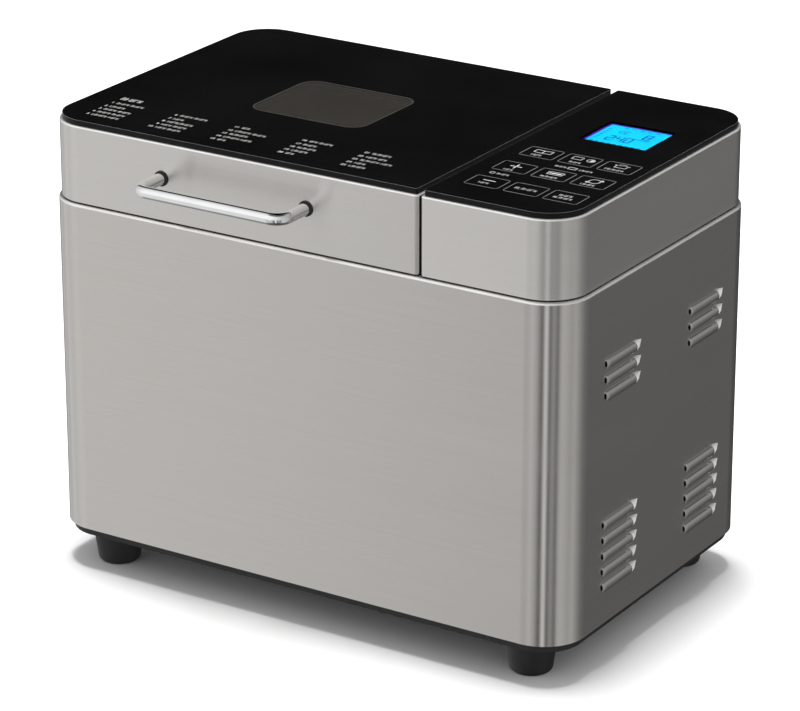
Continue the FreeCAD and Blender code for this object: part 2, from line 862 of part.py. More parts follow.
def makeTopDeck():
    body = newBody("top_deck")
    plate = newSketch(body, "XY_Plane", z=DECK_BOTTOM)
    insetOutline(plate, S.sheet)
    pad(plate, S.deck)
    opening = newSketch(body, "XY_Plane", z=DECK_BOTTOM)
    ovenOutline(opening, S.oven_wall + S.deck_play)
    pocket(opening, S.deck)
    cutHingeNotches(body, DECK_BOTTOM, DECK_TOP, REAR_FACE - S.leaf - S.hinge_play)
    passage = newSketch(body, "XY_Plane", z=DECK_BOTTOM)
    middle = (PANEL_LEFT + SKIRT_X) / 2
    drawRectangle(passage, middle - S.lcd_width / 2, middle + S.lcd_width / 2,
                  -S.lcd_depth / 2, S.lcd_depth / 2)
    pocket(passage, S.deck)


# Oven.

def ovenOutline(sketch, grow):
    """The oven's inner outline, grown by the given amount."""
    x, y = OVEN_HALF_X + grow, OVEN_HALF_Y + grow
    drawRounded(sketch, OVEN_X - x, OVEN_X + x, -y, y, S.oven_corner + grow)


def terminals(radius):
    z = OVEN_FLOOR + S.element_height
    return [(-S.terminal_y, z, radius), (S.terminal_y, z, radius)]


def sensorHole(radius):
    return [(SENSOR_Y, OVEN_FLOOR + S.sensor_height, radius)]


def makeOvenChamber():
    body = newBody("oven_chamber")
    walls = newSketch(body, "XY_Plane", z=OVEN_FLOOR - S.oven_wall)
    ovenOutline(walls, S.oven_wall)
    pad(walls, SEAM - OVEN_FLOOR + S.oven_wall)
    flange = newSketch(body, "XY_Plane", z=DECK_TOP)
    ovenOutline(flange, S.oven_flange)
    pad(flange, S.sheet)
    hollow = newSketch(body, "XY_Plane", z=OVEN_FLOOR)
    ovenOutline(hollow, 0)
    pocket(hollow, SEAM - OVEN_FLOOR)
    drillAlongZ(body, [(OVEN_X, 0, S.bearing_radius)], OVEN_FLOOR - S.oven_wall, OVEN_FLOOR)
    holes = terminals(S.insulator_radius) + sensorHole(S.sensor_rod + S.screw_play)
    drillAlongX(body, holes, OVEN_RIGHT - S.oven_wall * 2, OVEN_RIGHT)


def makeStandoffs():
    body = newBody("oven_standoffs", compound=True)
    x, y = OVEN_HALF_X - S.standoff_inset * 2, OVEN_HALF_Y - S.standoff_inset
    posts = [
        (OVEN_X + side * x, end * y, S.standoff_radius)
        for side in (-1, 1)
        for end in (-1, 1)
    ]
    postAlongZ(body, posts, TRAY_TOP, OVEN_FLOOR - S.oven_wall)


def makeHeatingElement():
    body = newBody("heating_element")
    z = OVEN_FLOOR + S.element_height
    left, right = -OVEN_HALF_X + S.element_room, OVEN_HALF_X - S.element_room
    side = OVEN_HALF_Y - S.element_room
    outside = OVEN_HALF_X + S.oven_wall + S.terminal_reach
    route = newSketch(body, "XY_Plane", x=OVEN_X, z=z)
    drawRoute(route, [
        (outside, -S.terminal_y),
        (right, -S.terminal_y),
        (right, -side),
        (left, -side),
        (left, side),
        (right, side),
        (right, S.terminal_y),
        (outside, S.terminal_y),
    ], [S.terminal_bend] + [S.element_corner] * 4 + [S.terminal_bend])
    section = newSketch(body, "YZ_Plane", x=OVEN_X + outside, z=z)
    drawCircle(section, -S.terminal_y, 0, S.element_radius)
    pipe(body, section, route)


def makeInsulators():
    body = newBody("element_insulators", compound=True)
    left = OVEN_RIGHT - S.oven_wall * 2
    right = left + S.insulator_length
    postAlongX(body, terminals(S.insulator_radius), left, right)
    drillAlongX(body, terminals(S.element_radius), left, right)


def makeThermalFuse():
    body = newBody("thermal_fuse")
    low = OVEN_FLOOR + S.fuse_height
    middle = S.fuse_edge - OVEN_FLAT_Y
    block(body, OVEN_RIGHT, OVEN_RIGHT + S.fuse_depth, middle - S.fuse_length / 2,
          middle + S.fuse_length / 2, low, low + S.fuse_width)


# Temperature sensor.

def makeSensor():
    z = OVEN_FLOOR + S.sensor_height
    rise = (z.number - PAN_BOTTOM.number) / (PAN_TOP.number - PAN_BOTTOM.number)
    panX = OVEN_X + PAN_HALF_X - S.pan_taper * (1 - rise)
    tipLeft = panX + S.sensor_play
    tipRight = tipLeft + S.sensor_tip_length
    end = OVEN_RIGHT + S.sensor_barrel_length
    shoulder = end - S.sensor_end - S.sensor_spring_length - S.sensor_travel

    housing = newBody("sensor_housing")
    postAlongX(housing, sensorHole(S.sensor_flange), OVEN_RIGHT, OVEN_RIGHT + S.oven_wall * 2)
    postAlongX(housing, sensorHole(S.sensor_barrel), OVEN_RIGHT, end)
    drillAlongX(housing, sensorHole(S.sensor_rod + S.shaft_play), OVEN_RIGHT, end)
    drillAlongX(housing, sensorHole(S.sensor_chamber), OVEN_RIGHT + S.sensor_end,
                end - S.sensor_end)

    plunger = newBody("sensor_plunger")
    postAlongX(plunger, sensorHole(S.sensor_tip), tipLeft, tipRight)
    postAlongX(plunger, sensorHole(S.sensor_rod), tipRight, end)
    collar = S.sensor_chamber - S.sensor_play
    postAlongX(plunger, sensorHole(collar), shoulder - S.sensor_travel, shoulder)

    spring = newBody("sensor_spring")
    postAlongX(spring, sensorHole(collar), shoulder, end - S.sensor_end)
    drillAlongX(spring, sensorHole(S.sensor_rod + S.sensor_play), shoulder, end - S.sensor_end)


# Pan and handle.

def panLoft(body, kind, inset, low, high):
    """A tapered solid between the pan's outlines at two levels."""
    height = PAN_TOP - PAN_BOTTOM
    sections = []
    for z in (low, high):
        shrink = S.pan_taper * (PAN_TOP - z) / height + inset
        x, y = PAN_HALF_X - shrink, PAN_HALF_Y - shrink
        section = newSketch(body, "XY_Plane", x=OVEN_X, z=z)
        drawRounded(section, -x, x, -y, y, S.pan_corner - inset)
        sections.append(section)
    feature = body.newObject(f"PartDesign::{kind}Loft", "Loft")
    feature.Profile = sections[0]
    feature.Sections = sections[1:]
    feature.Ruled = True
    return feature


def makeBreadPan():
    body = newBody("bread_pan")
    panLoft(body, "Additive", formula(0), PAN_BOTTOM, PAN_TOP)
    rim = newSketch(body, "XY_Plane", x=OVEN_X, z=PAN_TOP - S.pan_rim)
    x, y = PAN_HALF_X + S.pan_rim, PAN_HALF_Y + S.pan_rim
    drawRounded(rim, -x, x, -y, y, S.pan_corner + S.pan_rim)
    pad(rim, S.pan_rim)
    outer = PAN_HALF_X + S.pan_rim
    for side in (-1, 1):
        left, right = (-outer, S.pan_taper - outer) if side < 0 else (outer - S.pan_taper, outer)
        postAlongX(body, [(0, BAIL_Z, S.ear_radius)], OVEN_X + left, OVEN_X + right)
    cuts.append(panLoft(body, "Subtractive", S.pan_wall, PAN_BOTTOM + S.pan_floor, PAN_TOP))
    pivot = S.bail_radius + S.bail_play
    drillAlongX(body, [(0, BAIL_Z, pivot)], OVEN_X - outer, OVEN_X - outer + S.ear_sheet)
    drillAlongX(body, [(0, BAIL_Z, pivot)], OVEN_X + outer - S.ear_sheet, OVEN_X + outer)
    drillAlongZ(body, [(OVEN_X, 0, S.pan_bush_radius)], PAN_BOTTOM, PAN_BOTTOM + S.pan_floor)


def makePanBase():
    body = newBody("pan_base")
    plateBottom = PAN_BOTTOM - S.base_plate
    hubBottom = PAN_BOTTOM - S.base_hub
    inner = S.base_radius - S.base_wall
    revolve(body, [
        (S.pan_bush_radius, hubBottom),
        (S.base_hub_radius, hubBottom),
        (S.base_hub_radius, plateBottom),
        (inner, plateBottom),
        (inner, OVEN_FLOOR + S.base_gap),
        (S.base_radius, OVEN_FLOOR + S.base_gap),
        (S.base_radius, PAN_BOTTOM),
        (S.pan_bush_radius, PAN_BOTTOM),
    ], x=OVEN_X)


def makePanBush():
    body = newBody("pan_bush")
    bottom, floor = PAN_BOTTOM - S.base_hub, PAN_BOTTOM + S.pan_floor
    bore = S.shaft_radius + S.shaft_play
    revolve(body, [
        (bore, bottom),
        (S.pan_bush_radius, bottom),
        (S.pan_bush_radius, floor),
        (S.pan_bush_collar, floor),
        (S.pan_bush_collar, floor + S.pan_bush_rise),
        (bore, floor + S.pan_bush_rise),
    ], x=OVEN_X)


def makePanHandle():
    body = newBody("pan_handle")
    inner = PAN_HALF_X + S.pan_rim - S.ear_sheet
    legX = PAN_HALF_X + S.bail_room
    reach = PAN_HALF_Y + S.bail_room
    route = newSketch(body, "XY_Plane", x=OVEN_X, z=BAIL_Z)
    drawRoute(route, [(-inner, 0), (-legX, 0), (-legX, -reach), (legX, -reach),
                      (legX, 0), (inner, 0)],
              [S.bail_radius * 1.2, S.bail_bend, S.bail_bend, S.bail_radius * 1.2])
    section = newSketch(body, "YZ_Plane", x=OVEN_X - inner, z=BAIL_Z)
    drawCircle(section, 0, 0, S.bail_radius)
    pipe(body, section, route)


def makePanSeat():
    body = newBody("pan_seat")
    inner = S.base_radius + S.seat_play
    revolve(body, [
        (inner, OVEN_FLOOR),
        (inner + S.seat_wall, OVEN_FLOOR),
        (inner + S.seat_wall, OVEN_FLOOR + S.seat_height),
        (inner, OVEN_FLOOR + S.seat_height),
    ], x=OVEN_X)


def makePanClips():
    """Two spring strips that stand on the oven floor and lean over the seat."""
    body = newBody("pan_clips", compound=True)
    foot = S.base_radius + S.seat_play + S.seat_wall + S.clip_sheet
    floor = OVEN_FLOOR
    for side in (-1, 1):
        strip = newSketch(body, "XZ_Plane", OVEN_X, -S.clip_width / 2)
        outline = [
            (foot + S.clip_foot, floor),
            (foot, floor),
            (foot, floor + S.clip_upright),
            (foot - S.clip_lean, floor + S.clip_knee),
            (foot - S.clip_tip, floor + S.clip_height),
            (foot - S.clip_tip + S.clip_sheet, floor + S.clip_height - S.clip_slope),
            (foot - S.clip_lean + S.clip_sheet + S.clip_slope, floor + S.clip_knee),
            (foot + S.clip_sheet, floor + S.clip_upright + S.clip_slope),
            (foot + S.clip_sheet, floor + S.clip_sheet),
            (foot + S.clip_foot, floor + S.clip_sheet),
        ]
        drawPolygon(strip, [(side * x, z) for x, z in outline])
        pad(strip, S.clip_width, reverse=True)


# Drive line.

def makeBearing():
    body = newBody("bearing_housing")
    bore = S.shaft_radius + S.bush_wall
    flangeTop = OVEN_FLOOR - S.oven_wall
    revolve(body, [
        (bore, BEARING_BOTTOM),
        (S.bearing_radius, BEARING_BOTTOM),
        (S.bearing_radius, flangeTop - S.bearing_flange),
        (S.bearing_flange_radius, flangeTop - S.bearing_flange),
        (S.bearing_flange_radius, flangeTop),
        (S.bearing_radius, flangeTop),
        (S.bearing_radius, BEARING_TOP),
        (bore, BEARING_TOP),
    ], x=OVEN_X)


def makeDriveBush():
    body = newBody("drive_bush")
    bore = S.shaft_radius + S.shaft_play
    outer = S.shaft_radius + S.bush_wall
    revolve(body, [
        (bore, BEARING_BOTTOM),
        (outer, BEARING_BOTTOM),
        (outer, BEARING_TOP),
        (S.bearing_radius, BEARING_TOP),
        (S.bearing_radius, BUSH_TOP),
        (bore, BUSH_TOP),
    ], x=OVEN_X)


def makeDriveShaft():
    body = newBody("drive_shaft")
    low = PULLEY_BOTTOM - S.pulley_gap
    revolve(body, [
        (0, low - S.pulley_gap),
        (S.shaft_radius * 1.5, low - S.pulley_gap),
        (S.shaft_radius * 1.5, low),
        (S.shaft_radius, low),
        (S.shaft_radius, DOG_BOTTOM),
        (0, DOG_BOTTOM),
    ], x=OVEN_X)


def makeDriveCoupling():
    body = newBody("drive_coupling")
    disc = (OVEN_X, 0, S.coupling_radius)
    postAlongZ(body, [disc], COUPLING_BOTTOM, DOG_BOTTOM)
    dogs = newSketch(body, "XY_Plane", x=OVEN_X, z=DOG_BOTTOM)
    half = S.dog_width / 2
    drawRectangle(dogs, -S.dog_outer, -S.dog_inner, -half, half)
    drawRectangle(dogs, S.dog_inner, S.dog_outer, -half, half)
    pad(dogs, S.dog_height)
    drillAlongZ(body, [(OVEN_X, 0, S.shaft_radius)], COUPLING_BOTTOM, DOG_BOTTOM)


def makePanShaft():
    """The spindle through the pan, with the cross bar that the drive dogs push."""
    body = newBody("pan_shaft")
    top = PAN_BOTTOM + S.pan_floor + S.pan_shaft_rise
    bar = newSketch(body, "XY_Plane", x=OVEN_X, z=PAN_DOG_BOTTOM)
    half = S.dog_width / 2
    drawRectangle(bar, -half, half, -S.dog_outer, S.dog_outer)
    pad(bar, S.dog_height)
    postAlongZ(body, [(OVEN_X, 0, S.shaft_radius)], PAN_DOG_BOTTOM + S.dog_height, top)
    flat = newSketch(body, "XY_Plane", z=top - S.paddle_height)
    drawRectangle(flat, OVEN_X + half, OVEN_X + S.shaft_radius * 2,
                  -S.shaft_radius, S.shaft_radius)
    pocket(flat, S.paddle_height)


def makePaddle():
    body = newBody("kneading_paddle")
    bottom = PAN_BOTTOM + S.pan_floor + S.pan_bush_rise + S.paddle_gap
    top = PAN_BOTTOM + S.pan_floor + S.pan_shaft_rise + S.bush_flange
    postAlongZ(body, [(OVEN_X, 0, S.paddle_hub)], bottom, top)
    half = S.paddle_thickness / 2
    blade = newSketch(body, "XZ_Plane", OVEN_X, -half)
    drawPolygon(blade, [
        (0, bottom),
        (S.paddle_length, bottom),
        (S.paddle_length, bottom + S.paddle_blade / 2),
        (S.paddle_length - S.paddle_blade / 2, bottom + S.paddle_blade),
        (S.paddle_hub + S.paddle_thickness, bottom + S.paddle_blade),
        (0, top),
    ])
    pad(blade, S.paddle_thickness, reverse=True)
    bore = S.shaft_radius + S.shaft_play
    shaftTop = PAN_BOTTOM + S.pan_floor + S.pan_shaft_rise + S.paddle_gap
    drillAlongZ(body, [(OVEN_X, 0, bore)], bottom, shaftTop)


def pulleyProfile(hub, bore, groove):
    lipLow, lipHigh = PULLEY_BOTTOM + S.pulley_lip_height, PULLEY_TOP - S.pulley_lip_height
    lip = groove + S.pulley_lip
    webLow = PULLEY_BOTTOM + (S.pulley_height - S.pulley_web) / 2
    webHigh = webLow + S.pulley_web
    rim = groove - S.pulley_rim
    return [
        (bore, PULLEY_BOTTOM),
        (hub, PULLEY_BOTTOM),
        (hub, webLow),
        (rim, webLow),
        (rim, PULLEY_BOTTOM),
        (lip, PULLEY_BOTTOM),
        (lip, lipLow),
        (groove, lipLow),
        (groove, lipHigh),
        (lip, lipHigh),
        (lip, PULLEY_TOP),
        (rim, PULLEY_TOP),
        (rim, webHigh),
        (hub, webHigh),
        (hub, PULLEY_TOP),
        (bore, PULLEY_TOP),
    ]


def makeDrivePulley():
    body = newBody("drive_pulley")
    revolve(body, pulleyProfile(S.pulley_hub, S.shaft_radius, S.pulley_groove), x=OVEN_X)
    hole = newSketch(body, "XY_Plane", x=OVEN_X, z=PULLEY_BOTTOM)
    drawCircle(hole, S.pulley_hole_circle, 0, S.pulley_hole)
    lightening = pocket(hole, S.pulley_height)
    pattern = body.newObject("PartDesign::PolarPattern", "Pattern")
    pattern.Originals = [lightening]
    pattern.Axis = (hole, ["N_Axis"])
    pattern.Angle = 360
    pattern.Occurrences = 6
    body.Tip = pattern


def makeMotorPulley():
    body = newBody("motor_pulley")
    lip = S.motor_groove + S.pulley_lip
    lipLow, lipHigh = PULLEY_BOTTOM + S.pulley_lip_height, PULLEY_TOP - S.pulley_lip_height
    revolve(body, [
        (S.motor_shaft_radius, PULLEY_BOTTOM),
        (lip, PULLEY_BOTTOM),
        (lip, lipLow),
        (S.motor_groove, lipLow),
        (S.motor_groove, lipHigh),
        (lip, lipHigh),
        (lip, PULLEY_TOP),
        (S.motor_shaft_radius, PULLEY_TOP),
    ], x=MOTOR_X)


def makeDriveBelt():
    body = newBody("drive_belt")
    low = PULLEY_BOTTOM + S.pulley_lip_height + S.belt_gap
    height = S.pulley_height - 2 * S.pulley_lip_height - 2 * S.belt_gap
    span = MOTOR_X - OVEN_X
    inner = S.belt_play
    outer = S.belt_play + S.belt_thickness
    for grow, feature in ((outer, pad), (inner, pocket)):
        outline = newSketch(body, "XY_Plane", x=OVEN_X, z=low)
        drawBelt(outline, span, S.pulley_groove + grow, S.motor_groove + grow)
        feature(outline, height)


# Motor.

MOTOR_TOP = MOTOR_BOTTOM + S.motor_height


def motorScrews(radius):
    circle = S.motor_screw_circle
    return [
        (MOTOR_X + circle, 0, radius),
        (MOTOR_X - circle, 0, radius),
        (MOTOR_X, circle, radius),
        (MOTOR_X, -circle, radius),
    ]


def makeMotorHousing():
    body = newBody("motor_housing")
    bore = S.motor_shaft_radius + S.shaft_play
    inner = S.motor_radius - S.motor_wall
    revolve(body, [
        (bore, MOTOR_BOTTOM),
        (S.motor_radius, MOTOR_BOTTOM),
        (S.motor_radius, MOTOR_TOP),
        (bore, MOTOR_TOP),
        (bore, MOTOR_TOP - S.motor_wall),
        (inner, MOTOR_TOP - S.motor_wall),
        (inner, MOTOR_BOTTOM + S.motor_wall),
        (bore, MOTOR_BOTTOM + S.motor_wall),
    ], x=MOTOR_X)
    drillAlongZ(body, motorScrews(S.screw_radius), MOTOR_BOTTOM, MOTOR_BOTTOM + S.motor_wall)


def makeMotorShaft():
    body = newBody("motor_shaft")
    low = PULLEY_BOTTOM - S.pulley_gap
    postAlongZ(body, [(MOTOR_X, 0, S.motor_shaft_radius)], low, MOTOR_TOP + S.motor_wall)


def makeArmature():
    body = newBody("motor_armature")
    low = MOTOR_BOTTOM + S.motor_wall + S.armature_gap
    high = MOTOR_TOP - S.motor_wall - S.armature_gap
    postAlongZ(body, [(MOTOR_X, 0, S.armature_radius)], low, high)
    drillAlongZ(body, [(MOTOR_X, 0, S.motor_shaft_radius)], low, high)


def makeMotorBracket():
    body = newBody("motor_bracket")
    low = MOTOR_BOTTOM - S.bracket_sheet
    x, y = S.bracket_width / 2, S.bracket_depth / 2
    block(body, MOTOR_X - x, MOTOR_X + x, -y, y, low, MOTOR_BOTTOM)
    legX, legY = x - S.bracket_leg_inset, y - S.bracket_leg_inset
    legs = [
        (MOTOR_X + side * legX, end * legY, S.bracket_leg)
        for side in (-1, 1)
        for end in (-1, 1)
    ]
    postAlongZ(body, legs, TRAY_TOP, low)
    holes = motorScrews(S.screw_radius + S.screw_play) + [(MOTOR_X, 0, S.bracket_bore)]
    drillAlongZ(body, holes, low, MOTOR_BOTTOM)


def makeMotorScrews():
    body = newBody("motor_screws", compound=True)
    low = MOTOR_BOTTOM - S.bracket_sheet
    postAlongZ(body, motorScrews(S.screw_head_radius), low - S.screw_head, low)
    postAlongZ(body, motorScrews(S.screw_radius), low, MOTOR_BOTTOM + S.motor_wall)


# Boards and display.

def makePowerBoard():
    body = newBody("power_board")
    low = TRAY_TOP + S.power_board_floor
    block(body, POWER_BOARD_X, POWER_BOARD_X + S.board, -S.power_board_front,
          S.power_board_back, low, low + S.power_board_height)


def makePowerComponents():
    """Transformer, relay and two capacitors, on the face towards the motor."""
    body = newBody("power_components", compound=True)
    low = MOTOR_TOP + S.motor_wall * 2
    face = POWER_BOARD_X
    front = S.transformer_edge - S.power_board_front
    back = front + S.transformer_width
    top = low + S.transformer_height
    block(body, face - S.transformer_reach, face, front, back, low, top)
    relayFront, relayLow = back + S.relay_gap, low + S.relay_rise
    block(body, face - S.relay_reach, face, relayFront, relayFront + S.relay_size,
          relayLow, relayLow + S.relay_size)
    middle = (front + back) / 2
    cans = [(middle + side * S.capacitor_pitch / 2, top + S.capacitor_rise, S.capacitor_radius)
            for side in (-1, 1)]
    postAlongX(body, cans, face - S.capacitor_reach, face)


def skirtOutline(sketch, left, right, inset, outerSide):
    """Outline of a lid or panel skirt: wide corners on its outer side only."""
    wide, narrow = SKIRT_CORNER - inset, S.inner_corner
    radii = (wide, narrow) if outerSide == "right" else (narrow, wide)
    y = SKIRT_Y - inset
    drawRounded(sketch, left + inset, right - inset, -y, y, *radii)


def makeSkirt(label, left, right, outerSide):
    """A folded steel skirt, open below, with a flange on top for the glass."""
    body = newBody(label)
    outline = newSketch(body, "XY_Plane", z=LID_BOTTOM)
    skirtOutline(outline, left, right, formula(0), outerSide)
    pad(outline, SKIRT_TOP - LID_BOTTOM)
    soften(body, "Fillet", S.fold_radius, atHeight(SKIRT_TOP))
    hollow = newSketch(body, "XY_Plane", z=LID_BOTTOM)
    skirtOutline(hollow, left, right, S.sheet, outerSide)
    pocket(hollow, SKIRT_TOP - LID_BOTTOM - S.sheet)
    mouth = newSketch(body, "XY_Plane", z=SKIRT_TOP - S.sheet)
    skirtOutline(mouth, left, right, S.flange, outerSide)
    pocket(mouth, S.sheet)
    return body


def makeGlass(label, left, right, outerSide):
    body = newBody(label)
    plate = newSketch(body, "XY_Plane", z=SKIRT_TOP)
    skirtOutline(plate, left, right, S.glass_inset, outerSide)
    pad(plate, S.glass_thickness)
    soften(body, "Chamfer", S.glass_edge, atHeight(SKIRT_TOP + S.glass_thickness))


LCD_X = PANEL_LEFT + S.lcd_x + S.lid_gap * 2 + S.skirt_inset
LCD_HALF_X = S.lcd_width / 2 + S.lcd_border
LCD_HALF_Y = S.lcd_depth / 2 + S.lcd_border
CARRIER_TOP = SKIRT_TOP - S.sheet
SHELF_TOP = CARRIER_TOP - S.carrier_shelf


def makePanelCarrier():
    body = newBody("panel_carrier")
    outer = newSketch(body, "XY_Plane", z=SEAM)
    skirtOutline(outer, PANEL_LEFT, SKIRT_X, S.sheet, "right")
    pad(outer, CARRIER_TOP - SEAM)
    inset = S.sheet + S.carrier_wall
    above = newSketch(body, "XY_Plane", z=SHELF_TOP)
    skirtOutline(above, PANEL_LEFT, SKIRT_X, inset, "right")
    pocket(above, S.carrier_shelf)
    below = newSketch(body, "XY_Plane", z=SEAM)
    skirtOutline(below, PANEL_LEFT, SKIRT_X, inset, "right")
    pocket(below, SHELF_TOP - S.carrier_wall - SEAM)
    block(body, LCD_X - S.lcd_width / 2, LCD_X + S.lcd_width / 2, S.lcd_y - S.lcd_depth / 2,
          S.lcd_y + S.lcd_depth / 2, SHELF_TOP, SKIRT_TOP - S.lcd_thickness)


def makeDisplay():
    body = newBody("lcd_display")
    block(body, LCD_X - LCD_HALF_X, LCD_X + LCD_HALF_X, S.lcd_y - LCD_HALF_Y,
          S.lcd_y + LCD_HALF_Y, SKIRT_TOP - S.lcd_thickness, SKIRT_TOP)


def makeTouchBoard():
    body = newBody("touch_board")
    x = PANEL_LEFT + S.key_x + S.lid_gap * 2 + S.skirt_inset
    halfX, halfY = S.key_pitch_x + S.key_margin, S.key_pitch_y + S.key_margin_deep
    block(body, x - halfX, x + halfX, KEYS_Y - halfY, KEYS_Y + halfY, SKIRT_TOP - S.board, SKIRT_TOP)


def makeControlBoard():
    body = newBody("control_board")
    x = (PANEL_LEFT + SKIRT_X) / 2
    half = S.key_pitch_x + S.key_margin
    block(body, x - half, x + half, KEYS_Y - half, KEYS_Y + half, SHELF_TOP, SHELF_TOP + S.board)
    chip = S.key_margin / 2
    block(body, x - chip, x + chip, KEYS_Y - chip, KEYS_Y + chip, SHELF_TOP + S.board,
          SHELF_TOP + S.board * 2)


# Lid.

WINDOW_X = OVEN_X + S.window_x
WINDOW_Y = -S.window_y
HANDLE_ENDS = (HANDLE_X - S.handle_spacing / 2, HANDLE_X + S.handle_spacing / 2)


def windowOutline(sketch, grow):
    x, y = S.window_width / 2 + grow, S.window_depth / 2 + grow
    drawRounded(sketch, WINDOW_X - x, WINDOW_X + x, WINDOW_Y - y, WINDOW_Y + y,
                S.window_corner + grow)


def makeLidShell():
    body = makeSkirt("lid_shell", -SKIRT_X, LID_RIGHT, "left")
    cutHingeNotches(body, LID_BOTTOM, LID_BOTTOM + S.hinge_notch + S.hinge_rise,
                    SKIRT_Y - S.sheet)
    holes = [(x, HANDLE_Z, S.screw_radius + S.screw_play) for x in HANDLE_ENDS]
    drillAlongY(body, holes, -SKIRT_Y, -SKIRT_Y + S.sheet)


def makeLidLiner():
    body = newBody("lid_liner")
    low = LID_BOTTOM + S.liner_gap
    rim = newSketch(body, "XY_Plane", z=low)
    skirtOutline(rim, -SKIRT_X, LID_RIGHT, S.sheet + S.liner_play, "left")
    pad(rim, S.liner_sheet)
    dome = newSketch(body, "XY_Plane", z=low)
    ovenOutline(dome, S.liner_sheet)
    pad(dome, LINER_TOP + S.liner_sheet - low)
    hollow = newSketch(body, "XY_Plane", z=low)
    ovenOutline(hollow, 0)
    pocket(hollow, LINER_TOP - low)
    hole = newSketch(body, "XY_Plane", z=LINER_TOP)
    windowOutline(hole, S.window_margin)
    pocket(hole, S.liner_sheet)


def makeWindowPane():
    body = newBody("window_pane")
    sketch = newSketch(body, "XY_Plane", z=LINER_TOP + S.liner_sheet)
    windowOutline(sketch, S.window_margin + S.pane_lap)
    pad(sketch, S.pane)


def makeGasket():
    body = newBody("lid_gasket")
    low = SEAM + S.gasket_play
    ring = newSketch(body, "XY_Plane", z=low)
    ovenOutline(ring, S.gasket_inset + S.gasket_width)
    pad(ring, LID_BOTTOM + S.liner_gap - low)
    hole = newSketch(body, "XY_Plane", z=low)
    ovenOutline(hole, S.gasket_inset)
    pocket(hole, LID_BOTTOM + S.liner_gap - low)


def makeLidHandle():
    body = newBody("lid_handle")
    start = -SKIRT_Y - S.collar
    reach = -SKIRT_Y - S.handle_reach
    route = newSketch(body, "XY_Plane", z=HANDLE_Z)
    left, right = HANDLE_ENDS
    drawRoute(route, [(left, start), (left, reach), (right, reach), (right, start)],
              [S.handle_bend, S.handle_bend])
    section = newSketch(body, "XZ_Plane", y=start, z=HANDLE_Z)
    drawCircle(section, left, 0, S.handle_radius)
    pipe(body, section, route)
    bores = [(x, HANDLE_Z, S.screw_radius) for x in HANDLE_ENDS]
    drillAlongY(body, bores, start - S.handle_bore, start)


def makeHandleCollars():
    body = newBody("handle_collars", compound=True)
    rings = [(x, HANDLE_Z, S.collar_radius) for x in HANDLE_ENDS]
    postAlongY(body, rings, -SKIRT_Y - S.collar, -SKIRT_Y)
    bores = [(x, HANDLE_Z, S.screw_radius) for x in HANDLE_ENDS]
    drillAlongY(body, bores, -SKIRT_Y - S.collar, -SKIRT_Y)


def makeHandleScrews():
    body = newBody("handle_screws", compound=True)
    inside = -SKIRT_Y + S.sheet
    stems = [(x, HANDLE_Z, S.screw_radius) for x in HANDLE_ENDS]
    heads = [(x, HANDLE_Z, S.screw_head_radius) for x in HANDLE_ENDS]
    postAlongY(body, stems, -SKIRT_Y - S.collar - S.handle_bore, inside)
    postAlongY(body, heads, inside, inside + S.screw_head)


# Hinges.

def barrel(body, left, right, bore):
    axis = (HINGE_Y, HINGE_Z)
    postAlongX(body, [(*axis, S.barrel_radius)], left, right)
    drillAlongX(body, [(*axis, bore)], left, right)


def makeHingeBracket(label, centre):
    """The fixed half: a leaf behind the rear wall and a knuckle at each end."""
    body = newBody(label)
    half = S.hinge_length / 2
    back = REAR_FACE
    block(body, centre - half, centre + half, back - S.leaf, back,
          DECK_TOP - S.leaf_height, DECK_TOP - S.leaf_drop)
    for left in (centre - half, centre + half - S.hinge_end):
        web = newSketch(body, "YZ_Plane", x=left)
        drawPolygon(web, [
            (back - S.leaf, DECK_TOP - S.leaf),
            (back, DECK_TOP - S.leaf),
            (HINGE_Y + S.pin_radius, HINGE_Z - S.pin_radius * 2),
            (HINGE_Y, HINGE_Z),
            (HINGE_Y - S.barrel_radius + S.leaf_drop, HINGE_Z - S.leaf_drop),
        ])
        pad(web, S.hinge_end)
    for left in (centre - half, centre + half - S.hinge_end):
        barrel(body, left, left + S.hinge_end, S.pin_radius)


def makeHingeLeaf(label, centre):
    """The moving half: a leaf inside the lid's rear wall and one middle knuckle."""
    body = newBody(label)
    half = S.hinge_length / 2
    inner = SKIRT_Y - S.sheet
    top = LID_BOTTOM + S.hinge_notch + S.hinge_rise
    block(body, centre - half, centre + half, inner - S.leaf, inner, top, top + S.leaf_height)
    knuckle = half - S.hinge_end - S.hinge_play
    web = newSketch(body, "YZ_Plane", x=centre - knuckle)
    drawPolygon(web, [
        (inner - S.leaf, top + S.leaf),
        (inner - S.leaf, HINGE_Z + S.pin_radius),
        (HINGE_Y, HINGE_Z),
        (HINGE_Y + S.pin_radius, HINGE_Z + S.pin_radius * 2),
        (inner, top),
        (inner, top + S.leaf),
    ])
    pad(web, knuckle * 2)
    barrel(body, centre - knuckle, centre + knuckle, S.pin_radius + S.pin_play)


def makeHinges():
    for side, centre in zip(("left", "right"), HINGE_CENTRES):
        makeHingeBracket(f"hinge_bracket_{side}", centre)
        makeHingeLeaf(f"lid_hinge_leaf_{side}", centre)
    pins = newBody("hinge_pins", compound=True)
    half = S.hinge_length / 2 + S.pin_end
    for centre in HINGE_CENTRES:
        postAlongX(pins, [(HINGE_Y, HINGE_Z, S.pin_radius)], centre - half, centre + half)


# Build.

